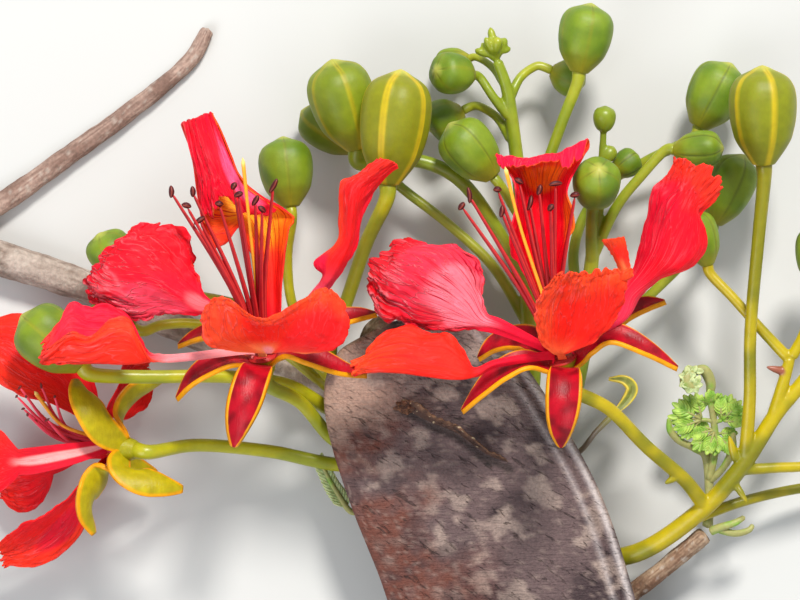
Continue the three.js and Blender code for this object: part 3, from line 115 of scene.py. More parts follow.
def colour(rgb):
    """A colour given in the usual 0 to 255 values, as the renderer's own values."""
    share = floats(rgb) / 255
    return np.where(share <= 0.04045, share / 12.92, ((share + 0.055) / 1.055) ** 2.4)


def mix(a, b, share):
    """Between a and b, for one share or for one share a point."""
    share = floats(share)
    if share.ndim and np.ndim(a) > 0:
        share = share[..., None]
    return np.asarray(a) * (1 - share) + np.asarray(b) * share


def ease(value, low, high):
    """0 below low, 1 above high, and smooth between them."""
    share = np.clip((floats(value) - low) / (high - low), 0, 1)
    return share * share * (3 - 2 * share)


def rough(points, size, seed=0):
    """Smooth noise about -1 to 1 at the given places; size is that of its lumps, in mm."""
    shift = Vector((seed * 17.3, seed * 5.7, seed * 9.1))
    return np.array([noise.noise(Vector(p) / size + shift) for p in np.asarray(points)])


def extended(points):
    """Points with one more before the first and one more after the last."""
    return np.concatenate([2 * points[:1] - points[1:2], points, 2 * points[-1:] - points[-2:-1]])


def steps_at(count, share):
    """The step of a run of count points that each share lies in, and how far on in that step."""
    at = np.clip(floats(share), 0, 1) * (count - 1)
    low = np.minimum(at.astype(int), count - 2)
    return low, at - low


def spline(a, b, c, d, part):
    """Between b and c on a smooth curve that comes from a and goes on to d."""
    bends = (2 * a - 5 * b + 4 * c - d) * part**2 + (3 * b - a - 3 * c + d) * part**3
    return 0.5 * (2 * b + (c - a) * part + bends)


def through(points, share):
    """Places along a smooth curve through the given points, at shares from 0 to 1 of its steps."""
    points = floats(points)
    padded = extended(points)
    low, part = steps_at(len(points), share)
    part = part.reshape(part.shape + (1,) * (points.ndim - 1))
    return spline(*(padded[low + k] for k in range(4)), part)


def table_at(values, share):
    """A list of numbers read smoothly at the given shares."""
    return through(floats(values)[:, None], share)[:, 0]


def unit(vectors):
    return vectors / np.maximum(np.linalg.norm(vectors, axis=-1, keepdims=True), 1e-9)


def run_frames(points, share):
    """Places, sideways and upward directions along a run, untwisted from its start to its end."""
    steps = np.linspace(0, 1, 160)
    line = through(points, steps)
    heading = unit(np.gradient(line, axis=0))
    up = np.array([0.12, -0.2, 1])
    ups = []
    for way in heading:
        up = up - up.dot(way) * way
        up = up / np.linalg.norm(up)
        ups.append(up)
    ups = np.array(ups)
    sides = np.cross(heading, ups)
    pick = [np.stack([np.interp(share, steps, table[:, k]) for k in range(3)], -1) for table in (ups, sides)]
    return through(points, share), pick[1], pick[0]


def dress(mesh, places, tints):
    """Moves a mesh's points to their places in the view's frame and gives each its colour. Nothing
    reaches below the floor."""
    points = placed(places)
    points[:, 2] = np.maximum(points[:, 2], 0)
    mesh.vertices.foreach_set("co", points.ravel())
    layer = mesh.color_attributes.new("tint", "FLOAT_COLOR", "POINT")
    layer.data.foreach_set("color", np.concatenate([tints, np.ones((len(tints), 1))], 1).ravel())
    mesh.update()


def points_of(mesh):
    places = np.empty(len(mesh.vertices) * 3)
    mesh.vertices.foreach_get("co", places)
    return places.reshape(-1, 3)


def swell(name, segments, rings, skin):
    """A ball drawn out into a closed round body. skin turns each point's angle round the body, in
    radians, and its share of the way from foot to tip into its place and its colour."""
    bpy.ops.mesh.primitive_uv_sphere_add(segments=segments, ring_count=rings, radius=1)
    piece = bpy.context.object
    piece.name = piece.data.name = name
    ball = points_of(piece.data)
    turn = np.arctan2(ball[:, 1], ball[:, 0])
    share = np.arccos(np.clip(ball[:, 2], -1, 1)) / math.pi
    dress(piece.data, *skin(turn, share))
    return piece


def limb_skin(points, radii, paint, lumps=0, blunt=1.0):
    """The skin of a round tapering limb whose two ends are closed over the length blunt."""
    points = floats(points)
    length = np.linalg.norm(np.diff(points, axis=0), axis=1).sum()

    def skin(turn, share):
        centre, side, up = run_frames(points, share)
        close = np.clip(np.minimum(share, 1 - share) * length / blunt, 0, 1)
        radius = table_at(radii, share) * np.sqrt(close * (2 - close))
        out = side * np.cos(turn)[:, None] + up * np.sin(turn)[:, None]
        places = centre + out * radius[:, None]
        if lumps:
            swelling = lumps * (rough(places, 7) + 0.6 * rough(places, 2.6, 3))
            swelling = np.minimum(swelling, lumps * (1 + 2 * out[:, 2]))  # flat where it lies down
            places = places + out * (swelling * close)[:, None]
        return places, paint(places, turn, share)

    return skin


def rings_for(points, spacing):
    return max(8, int(np.linalg.norm(np.diff(floats(points), axis=0), axis=1).sum() / spacing))


SOFT_REACH = (1.0, 0.35, 0.2)  # how far light of each colour spreads below a soft skin
SOFT_DEPTH = 1.2


def step(material, kind, inputs=(), **traits):
    """A new node of a material. inputs holds what each of its inputs gets: a value, or the output of
    another node."""
    node = material.node_tree.nodes.new("ShaderNode" + kind)
    for name, trait in traits.items():
        setattr(node, name, trait)
    for key, given in dict(inputs).items():
        if isinstance(given, bpy.types.NodeSocket):
            material.node_tree.links.new(given, node.inputs[key])
        else:
            node.inputs[key].default_value = given
    return node


def ranged(material, value, low, high, first, last):
    """A value that runs from low to high, as one that runs from first to last."""
    span = {"From Min": low, "From Max": high, "To Min": first, "To Max": last}
    return step(material, "MapRange", {"Value": value, **span}).outputs["Result"]


def noise_over(material, place, scales, detail, wander=0.0):
    """Smooth noise over a place, which is first stretched by its scales."""
    stretched = step(material, "Mapping", {"Vector": place, "Scale": scales}).outputs["Vector"]
    field = {"Vector": stretched, "Scale": 1, "Detail": detail, "Distortion": wander}
    return step(material, "TexNoise", field).outputs["Fac"]


def tinted(material, share, paint, blend="MIX"):
    """Lays a paint over the colour that a material has so far."""
    base = material.node_tree.nodes["Principled BSDF"].inputs["Base Color"]
    layers = {"Factor": share, "A": base.links[0].from_socket, "B": paint}
    layer = step(material, "Mix", layers, data_type="RGBA", blend_type=blend)
    material.node_tree.links.new(layer.outputs["Result"], base)


def raised(material, height, depth):
    """Raises the surface of a material by a height from 0 to 1, on top of what it has so far."""
    surface = material.node_tree.nodes["Principled BSDF"].inputs["Normal"]
    bump = step(material, "Bump", {"Height": height, "Distance": depth * MM})
    for link in surface.links:
        material.node_tree.links.new(link.from_socket, bump.inputs["Normal"])
    material.node_tree.links.new(bump.outputs["Normal"], surface)


def finish(name, roughness, grain, bumps, gloss=0.5, soft=0.0):
    """A material whose colour is the piece's own tint, varied by grain: (lump size in mm, darkest
    share). bumps is a list of (lump size in mm or a stretch along each axis, depth in mm)."""
    material = bpy.data.materials.new(name)
    material.use_nodes = True
    shader = material.node_tree.nodes["Principled BSDF"]
    shader.inputs["Roughness"].default_value = roughness
    shader.inputs["Specular IOR Level"].default_value = gloss
    if soft:
        shader.inputs["Subsurface Weight"].default_value = soft
        shader.inputs["Subsurface Radius"].default_value = SOFT_REACH
        shader.inputs["Subsurface Scale"].default_value = SOFT_DEPTH * MM
    where = step(material, "TexCoord").outputs["Object"]
    lumps = step(material, "TexNoise", {"Vector": where, "Scale": 1 / (grain[0] * MM), "Detail": 6})
    shade = ranged(material, lumps.outputs["Fac"], 0.3, 0.7, grain[1], 1.08)
    tint = step(material, "Attribute", attribute_name="tint").outputs["Color"]
    dyed = step(material, "VectorMath", {0: tint, "Scale": shade}, operation="SCALE")
    material.node_tree.links.new(dyed.outputs[0], shader.inputs["Base Color"])
    for size, depth in bumps:
        sizes = size if isinstance(size, tuple) else (size,) * 3
        raised(material, noise_over(material, where, [1 / (s * MM) for s in sizes], 4), depth)
    return material


def stand_for(piece, node, material):
    """Smooth shading, material, and what the piece stands for in the part."""
    piece.data.materials.clear()
    piece.data.materials.append(material)
    for face in piece.data.polygons:
        face.use_smooth = True
    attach(piece, "root")
    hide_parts(node)


def bark_paint(light, dark, streaks):
    """Long streaks of light and dark bark, with pale spots."""

    def paint(places, turn, share):
        along = np.stack([np.cos(turn) * 3, np.sin(turn) * 3, share * 9], 1)
        long_streaks = rough(along, 0.55, 1) + 0.6 * rough(along, 0.22, 2)
        patches = rough(places, 9, 4)
        pale = ease(rough(places, 1.5, 5), 0.32, 0.5)
        tints = mix(colour(dark), colour(light), ease(long_streaks * (1 - streaks) + patches, -0.5, 0.5))
        return mix(tints, colour(BARK_SPOTS), 0.5 * pale)

    return paint


bark = finish("dry_bark", BARK_ROUGHNESS, (1.1, 0.72), [(0.7, 0.3), ((0.5, 2.5, 0.5), 0.25)], gloss=0.25)
for node, (run, light, dark, lumps) in BARKS.items():
    skin = limb_skin(*run, bark_paint(light, dark, BARK_STREAKS), lumps=lumps, blunt=1.6)
    twig = swell(node + "_bark", 40, rings_for(run[0], 0.8), skin)
    stand_for(twig, node, bark)


# The ripe pod
# A flat woody strap that ripened last season: grey-brown, mottled and cross-cracked, with thickened
# edges, a pale seam along its right side and a strip of skin torn loose near its upper end. Its
# mottling is partly painted dappled sunlight and shade, and the strip's shadow on the shell is painted.
POD_LINE = [
    [-2.3, -6.2, 30], [5, -24, 28.5], [15.5, -45.8, 26], [26, -68, 23], [33.4, -90.8, 19.5],
    [39.6, -113.8, 16], [45.6, -139.7, 12.5], [51.4, -165.8, 9.4], [58, -200, 6], [63, -240, 3.9],
    [65, -282, 3], [62, -330, 3],
]
POD_FACING = [[-0.1, 0.1, 1], [0, 0.08, 1], [0, 0.09, 1], [0, 0.06, 1]]
POD_WIDTH = 67.5
POD_THICKNESS = 8
POD_LENGTH = 337
POD_HEAD = 110  # how far the rounding of its upper end and of its tail reach
POD_TAIL = 120
POD_END = 3.4  # its half width at the very ends
# Pale and dark tones of the shell, used for its own bleaching and stains and also for painted dappled
# sunlight and shade.
POD_LIGHT = colour((170, 148, 136))
POD_MIDDLE = colour((100, 79, 78))
POD_DARK = colour((60, 42, 44))
POD_TAN = colour((172, 136, 118))
POD_RED = colour((106, 56, 42))
SEAM_PALE = colour((216, 204, 202))
TEAR_SHADE = colour((48, 33, 30))
TEAR = [
    (0, -29, 33.2), (4, -30.5, 33.8), (9, -33.5, 33.4), (16, -36.5, 32.4), (24, -42.5, 30.6),
    (31.5, -46, 28),
]
STRIP_DARK = colour((74, 46, 34))
STRIP_BARE_AND_LIT = colour((138, 98, 70))
STRIP_PALE = colour((214, 190, 152))
KNOT_DARK = colour((70, 40, 28))
KNOT_LIGHT = colour((134, 88, 60))
TEAR_THICKNESS = 0.5
TEAR_WIDTH = [2, 3.6, 2.4, 2.2, 1.5, 0.3]
KNOT = (1.6, -30.2, 33.2)


def pod_half_width(share):
    head = np.maximum(0, 1 - share * POD_LENGTH / POD_HEAD)
    tail = np.maximum(0, 1 - (1 - share) * POD_LENGTH / POD_TAIL)
    return POD_WIDTH / 2 * (1 - head**2) ** 0.25 * (1 - tail**2) ** 0.4


def faced_frames(points, facing, share):
    """Places, sideways and upward directions along a run whose upper side looks the given ways."""
    near = 0.002
    centre = through(points, share)
    heading = unit(through(points, share + near) - through(points, share - near))
    looks = unit(floats(facing))
    at = share * (len(looks) - 1) if len(looks) > 1 else share * 0
    low = np.minimum(at.astype(int), max(0, len(looks) - 2))
    high = np.minimum(low + 1, len(looks) - 1)
    up = looks[low] * (1 - (at - low))[:, None] + looks[high] * (at - low)[:, None]
    up = unit(up - (up * heading).sum(1)[:, None] * heading)
    return centre, np.cross(heading, up), up


def pod_skin(turn, share):
    # The rings lie closer together towards the two ends.
    share = 0.4 * share + 0.6 * (1 - np.cos(math.pi * share)) / 2
    centre, side, up = faced_frames(POD_LINE, POD_FACING, share)
    half = np.maximum(POD_END, pod_half_width(share))
    close = np.clip(np.minimum(share, 1 - share) * POD_LENGTH / 3, 0, 1)
    half = half * np.sqrt(close * (2 - close))
    across = -np.cos(turn)  # from the left edge to the right edge, as the view shows them
    side = -side
    thick = (0.62 + 0.38 * np.abs(across) ** 3) * np.sqrt(np.maximum(0, 1.04 - across**6))
    thick = POD_THICKNESS / 2 * thick * (0.75 + 0.25 * np.minimum(1, half / 20)) * np.sqrt(close)
    over = np.where(np.abs(np.sin(turn)) < 1e-6, 0, np.sign(np.sin(turn)))
    flat = centre + side * (across * half)[:, None]
    # Shallow swellings over the chambers, wrinkles, and a groove beside each seam.
    wrinkles = 0.5 * rough(flat, 16, 1) + 0.2 * rough(flat, 5, 2) + 0.1 * rough(flat, 1.8, 3) - 0.15
    right_groove = 0.55 * np.exp(-(((across - 0.9) * half / 0.7) ** 2))
    left_groove = 0.3 * np.exp(-(((across + 0.93) * half / 0.8) ** 2))
    inward = np.clip((1 - np.abs(across)) * half / 2, 0, 1) * (over > 0)
    relief = (wrinkles - right_groove - left_groove) * inward
    places = flat + up * (over * (thick + relief))[:, None]
    # Bleached and stained patches, partly the shell's own and partly painted dappled sunlight and shade,
    # redder towards the left, and the pale seam.
    patches = rough(flat, 22, 7) + 0.5 * rough(flat, 8, 8) + 0.22 * rough(flat, 2.4, 9)
    tints = mix(POD_DARK, POD_MIDDLE, ease(patches, -0.5, 0.02))
    blotches_and_sunlit_dapples = rough(flat, 9, 14) + 0.5 * rough(flat, 3, 15) + 0.6 * rough(flat, 26, 16)
    bleach_and_sunlight = 0.6 + 0.4 * rough(flat, 5, 18)
    upper = 0.3 * (1 - ease(share, 0.06, 0.12))
    tints = mix(tints, POD_LIGHT, bleach_and_sunlight * ease(blotches_and_sunlit_dapples + upper, 0.22, 0.33))
    left = ease(-across, -0.2, 0.7) * ease(rough(flat, 18, 11) + 0.3 * rough(flat, 4, 19), -0.4, 0.2)
    left = left * (0.85 + 0.5 * rough(flat, 3, 20)) * ease(share, 0.085, 0.12)
    tints = mix(tints, POD_RED, np.clip(left, 0, 1))
    bare = ease(-across, -0.1, 0.5) * (1 - ease(share, 0.09, 0.125)) * ease(rough(flat, 7, 13), -0.5, 0)
    tints = mix(tints, POD_TAN, 0.8 * bare)
    # Darker patches towards the left: stains, and painted dappled shade.
    stains_and_dappled_shade = ease(rough(flat, 8, 27) + 0.4 * rough(flat, 2.5, 28), 0.14, 0.32)
    tints = mix(tints, POD_DARK, stains_and_dappled_shade * (0.5 - 0.25 * bare) * ease(-across, -0.4, 0.4))
    seam = np.exp(-(((across - 0.955) * half / 0.9) ** 2))
    seam = seam + 0.5 * np.exp(-(((across - 0.82) * half / 0.8) ** 2))
    tints = mix(tints, SEAM_PALE, 0.75 * np.clip(seam, 0, 1) * (over > 0))
    specks = ease(rough(flat, 0.9, 12), 0.3, 0.5)
    tints = mix(tints, POD_LIGHT, 0.3 * specks)
    # The painted shadow below the torn strip.
    line = through(TEAR, np.linspace(0, 1, 60)) + (-0.6, -1.5, 0)
    from_tear = np.linalg.norm(flat[:, None, :2] - line[None, :, :2], axis=2).min(axis=1)
    ragged = from_tear + 0.6 * rough(flat, 1.2, 17)
    return places, mix(tints, TEAR_SHADE, 0.85 * (1 - ease(ragged, 0.7, 1.6)) * (over > 0))


pod_shell = swell("pod_shell", 150, 320, pod_skin)
shell = finish("woody_shell", 0.6, (0.8, 0.72), [(0.5, 0.3), ((4, 0.7, 4), 0.5), (2.2, 0.4)], gloss=0.4)
# Short cracks that run slanting across the pod, darker than the shell and cut into it.
CRACK_TURN = math.radians(32)
CRACK_SIZES = (4.5, 1.2, 4.5)  # the second is how far apart they lie
CRACK_DEPTH = 0.35
CRACK_EDGES = (0.6, 0.7)  # the noise at a crack's rim and at its floor
CRACK_DARK = (0.4, 0.36, 0.34, 1)
where = shell.node_tree.nodes["Texture Coordinate"].outputs["Object"]
slanting = step(shell, "Mapping", {"Vector": where, "Rotation": (0, 0, CRACK_TURN)}).outputs["Vector"]
field = noise_over(shell, slanting, [1 / (size * MM) for size in CRACK_SIZES], 4, wander=0.9)
crack = step(shell, "ValToRGB", {"Fac": field})
for element, edge, tone in zip(crack.color_ramp.elements, CRACK_EDGES, ((1, 1, 1, 1), CRACK_DARK)):
    element.position = edge
    element.color = tone
tinted(shell, 1, crack.outputs["Color"], "MULTIPLY")
raised(shell, crack.outputs["Color"], CRACK_DEPTH)


def sheet(name, across, along, lay, thickness, paint, veins=None):
    """A grid laid as a thin sheet. lay turns shares across (-1 to 1) and along (0 to 1) into places,
    and paint turns them, the places and a side (1 upper, -1 lower) into colours. veins gives the
    colour of the veins and how strongly they show, in the same way."""
    bpy.ops.mesh.primitive_grid_add(x_subdivisions=across, y_subdivisions=along, size=2)
    piece = bpy.context.object
    piece.name = piece.data.name = name
    flat = points_of(piece.data)
    u, v = flat[:, 0], (flat[:, 1] + 1) / 2
    middle = placed(lay(u, v)).ravel()
    piece.data.vertices.foreach_set("co", middle)
    piece.data.update()
    upward = np.empty(len(flat) * 3)
    piece.data.vertex_normals.foreach_get("vector", upward)
    kept = {"middle": middle, "shares": np.stack([u, v, u * 0], 1).ravel(), "upward": upward}
    for key, vectors in kept.items():
        piece.data.attributes.new(key, "FLOAT_VECTOR", "POINT").data.foreach_set("vector", vectors)
    thicken = piece.modifiers.new("thickness", "SOLIDIFY")
    thicken.thickness = thickness * MM
    thicken.offset = 0
    bpy.ops.object.modifier_apply(modifier=thicken.name)
    mesh = piece.data
    for key in kept:
        vectors = np.empty(len(mesh.vertices) * 3)
        mesh.attributes[key].data.foreach_get("vector", vectors)
        kept[key] = vectors.reshape(-1, 3)
        mesh.attributes.remove(mesh.attributes[key])
    over = ((points_of(mesh) - kept["middle"]) * kept["upward"]).sum(1)
    u, v = kept["shares"][:, 0], kept["shares"][:, 1]
    places = points_of(mesh) / MM - VIEW_CENTRE
    side = np.where(over >= 0, 1, -1)
    dress(mesh, places, paint(u, v, places, side))
    if veins:
        layer = mesh.color_attributes.new("vein", "FLOAT_COLOR", "POINT")
        layer.data.foreach_set("color", veins(u, v, places, side).ravel())
    return piece


def joined(pieces, name):
    """Several objects as one."""
    bpy.ops.object.select_all(action="DESELECT")
    for piece in pieces:
        piece.select_set(True)
    bpy.context.view_layer.objects.active = pieces[0]
    bpy.ops.object.join()
    whole = bpy.context.object
    whole.name = whole.data.name = name
    bpy.ops.object.select_all(action="DESELECT")
    return whole


def lay_tear(u, v):
    line = through(TEAR, v)
    width = table_at(TEAR_WIDTH, v)
    ragged = 0.5 * rough(line, 1.7, 21) + 0.3 * rough(line, 0.7, 23)
    lift = (0.5 + 0.5 * u) * width
    across = 0.4 * u * width + ragged * (u > 0)
    return line + np.stack([0.3 * lift, across, 0.35 * lift + 0.3 * ragged - 0.9], 1)


def paint_tear(u, v, places, side):
    # Lighter towards the lifted upper side and darker towards the lower one: partly bare wood, and partly
    # painted light and shade.
    bare = ease(u, -0.2, 0.9) * (0.6 + 0.8 * rough(places, 1.2, 22))
    tints = mix(STRIP_DARK, STRIP_BARE_AND_LIT, bare)
    return mix(tints, STRIP_PALE, 0.8 * ease(rough(places, 0.8, 26), 0.42, 0.5))


def knot_skin(turn, share):
    """A small splintered knot at the strip's upper end."""
    out = np.stack([np.sin(math.pi * share) * np.cos(turn), np.sin(math.pi * share) * np.sin(turn)], 1)
    ball = np.concatenate([out * (2.4, 1.7), np.cos(math.pi * share)[:, None]], 1)
    places = np.asarray(KNOT) + ball * (1 + 0.9 * rough(ball * 2, 1.1, 24))[:, None]
    return places, mix(KNOT_DARK, KNOT_LIGHT, ease(rough(places, 0.9, 25), -0.3, 0.4))


tear = sheet("torn_strip", 12, 100, lay_tear, TEAR_THICKNESS, paint_tear)
pod_shell = joined([pod_shell, tear, swell("knot", 32, 22, knot_skin)], "pod_shell")
stand_for(pod_shell, "pod", shell)


# The blooms' places
# Each bloom has a cup, five sepals, five petals, ten stamens and a style. Its places are counted from
# the middle of its cup's rim, and it faces along its axis.
BLOOMS = {
    "bloom_right": {"rim": [45, -16, 50], "axis": [-0.3, 0.86, 0.41]},
    "bloom_left": {"rim": [-38.5, -15, 47], "axis": [-0.15, 0.84, 0.52]},
    "bloom_side": {"rim": [-79.5, -41.5, 36], "axis": [-0.94, 0.1, -0.3]},
}
CUP_LENGTH = 6  # from a cup's foot to its rim


def along_axis(bloom, ahead):
    return floats(bloom["rim"]) + unit(floats(bloom["axis"])) * ahead


# The buds
# Closed buds with fleshy green skins. Five sepals meet edge to edge along fine seams that run to a
# small nib at the tip. The ripest buds are yellow-green, with broad yellow bands along their seams.
# Each bud's foot, tip and radius.
BUDS = {
    "left_bud_1": ([-88.5, -18.5, 43], [-105.5, -4.5, 44], 8.5),
    "left_bud_2": ([-78, 7.5, 27], [-84.8, 18.5, 31], 6.3),
    "left_bud_3": ([-75, -8, 23], [-88.5, -3.5, 22], 6),
    "left_bud_4": ([-3.5, 32, 36], [0.2, 64.2, 38], 9.6),
    "left_bud_5": ([-31, 26, 24], [-33.2, 46, 22], 7.5),
    "top_bud_1": ([-12, 42.5, 21.5], [-19.3, 67.5, 27], 9.1),
    "top_bud_2": ([-12, 43, 10], [-28, 54, 9], 6.4),
    "top_bud_3": ([20.5, 63.5, 22], [10, 64.5, 31], 5.8),
    "top_bud_4": ([20, 68.8, 12], [10.5, 66.5, 8], 4.4),
    "top_bud_5": ([18, 54, 13], [8, 49, 14], 6),
    "top_bud_6": ([26.5, 34.5, 28], [14, 49.5, 30], 7.5),
    "top_bud_7": ([43, 65.5, 14], [52.5, 61.5, 13], 5.2),
    "top_bud_8": ([50.5, 64, 26], [54, 83.5, 27], 7.5),
    "middle_bud_1": ([84.5, 49, 17], [94, 67, 18], 7.9),
    "middle_bud_2": ([77, 42.3, 28], [91, 42.8, 31.5], 5),
    "middle_bud_3": ([89, 21.5, 17], [97.5, 41, 20], 6.9),
    "middle_bud_4": ([54.5, 27.5, 31], [55.5, 36.5, 46], 6.6),
    "middle_bud_5": ([60.5, 36, 23], [67.5, 41, 21], 4),
    "right_bud_1": ([102, 37.5, 38], [101.4, 65.2, 41], 9.2),
    "right_bud_2": ([87, 9.5, 29], [82.5, 25, 31], 5.2),
    "right_bud_3": ([131, -37.5, 20], [139, -20, 22], 7.4),
    "right_bud_4": ([129, -54, 7.8], [147, -60, 7.1], 7.4),
    "right_bud_5": ([117.5, 4, 29], [118, 21, 32], 6.4),
}
# How ripe the ripening buds are, from 0 to 1.
RIPE_BUDS = {"left_bud_4": 1.0, "right_bud_1": 0.85, "top_bud_1": 0.4, "left_bud_1": 0.1, "top_bud_2": 0.3}
BUD_OUTLINE = [0.3, 0.5, 0.68, 0.82, 0.9, 0.96, 0.99, 1, 0.98, 0.9, 0.68, 0.1]
SEAMS = 5
YOUNG_GREEN = colour((120, 142, 26))
YOUNG_SHADE = colour((92, 120, 18))
YOUNG_FOOT = colour((138, 138, 24))
RIPE_GREEN = colour((128, 130, 4))
RIPE_BAND = colour((204, 176, 16))
SEAM_SHADE = colour((58, 80, 14))
NIB_PALE = colour((182, 182, 84))
BIG_BUD = 7  # the radius above which a bud has the finer of these two meshes
BIG_BUD_MESH = (90, 56)
SMALL_BUD_MESH = (60, 40)
bud_skin_finish = finish("bud_skin", 0.5, (2.5, 0.9), [(0.4, 0.04), (3, 0.12)], gloss=0.4, soft=0.15)

for number, (node, (foot, tip, girth)) in enumerate(BUDS.items()):
    foot, tip = floats(foot), floats(tip)
    axis = unit(tip - foot)
    length = np.linalg.norm(tip - foot)
    side = unit(np.cross(axis, [0.3, 0.2, 1]))
    front = np.cross(side, axis)
    ripe = RIPE_BUDS.get(node, 0.0)
    first_seam = 0.62 + 0.4 * math.sin(2.4 * number)

    def bud_skin(turn, share):
        near_seam = np.abs((turn - first_seam + math.pi / SEAMS) % (2 * math.pi / SEAMS) - math.pi / SEAMS)
        share = 0.55 * share + 0.45 * (1 - np.cos(math.pi * share)) / 2
        radius = girth * table_at(BUD_OUTLINE, share)
        radius = radius * np.sqrt(np.clip(share / 0.02, 0, 1)) * np.sqrt(np.clip((1 - share) / 0.03, 0, 1))
        off_seam = near_seam * np.maximum(radius, 0.3)  # in mm along the skin
        groove = np.exp(-((off_seam / 0.2) ** 2))
        ridge = np.exp(-((off_seam / (0.5 + 0.5 * ripe)) ** 2))
        belly = np.sin(near_seam * SEAMS / 2) ** 2
        open_part = ease(share, 0.05, 0.3) * (1 - ease(share, 0.97, 1))
        swelling = 0.045 * belly * girth + (0.14 + 0.25 * ripe) * ridge - 0.36 * groove
        radius = radius + swelling * open_part * np.minimum(1, radius / 2)
        # The small nib where the five sepals meet.
        nib = ease(share, 0.965, 0.99) * 0.06 * girth
        out = side * np.cos(turn)[:, None] + front * np.sin(turn)[:, None]
        places = foot + axis * (share * length + nib)[:, None] + out * radius[:, None]
        young = mix(YOUNG_GREEN, YOUNG_SHADE, ease(rough(places, 6, number), -0.3, 0.5))
        young = mix(young, YOUNG_FOOT, 1 - ease(share, 0.05, 0.4))
        skin = mix(young, RIPE_GREEN, ripe)
        band = np.exp(-((off_seam / (0.5 + 0.45 * ripe)) ** 4))
        skin = mix(skin, RIPE_BAND, band * (0.12 + 0.8 * ripe))
        skin = mix(skin, SEAM_SHADE, groove * open_part * (0.7 - 0.5 * ripe))
        return places, mix(skin, NIB_PALE, ease(share, 0.955, 0.985) * 0.7)

    bud_mesh = BIG_BUD_MESH if girth > BIG_BUD else SMALL_BUD_MESH
    bud_piece = swell(node + "_skin", *bud_mesh, bud_skin)
    stand_for(bud_piece, node, bud_skin_finish)


# The racemes
# Smooth green flower stalks. A rachis carries a stalk for each of its blooms and buds, and the forks
# flow into one another, as they grew.
SEAT = 0.9  # how far a stalk reaches into what it carries
CUP_APPROACH = 4.5  # how far before a cup its stalk comes into line with it
BUD_FORM = [0.32, 0.62, 0.84, 0.95, 1, 0.97, 0.79, 0.16]
RACHIS_RADIUS = 2.6
BLOOM_STALK = [2.2, 2, 1.9, 2, 2.5]
BIG_BUD_STALK = [2.1, 2, 2, 2.1, 2.6]


def bud_seat(name):
    foot, tip, girth = BUDS[name]
    back = unit(floats(foot) - floats(tip))
    return [list(foot + back * 0.45 * girth), list(foot - back * SEAT)]


def bloom_seat(name):
    return [list(along_axis(BLOOMS[name], ahead - CUP_LENGTH)) for ahead in (-CUP_APPROACH, SEAT)]


def stalk(points, seat, radii=(1.7, 1.5, 1.5, 1.7)):
    return points + seat, list(radii)


def tiny(foot, tip, radius):
    return [foot, tip], [share * radius for share in BUD_FORM]


def bract(foot, tip, radius):
    return [foot, tip], [radius, radius, 0.35]


DRY_BRACT = bract([109.5, -20.5, 29], [103, -18.8, 31], 1.1)
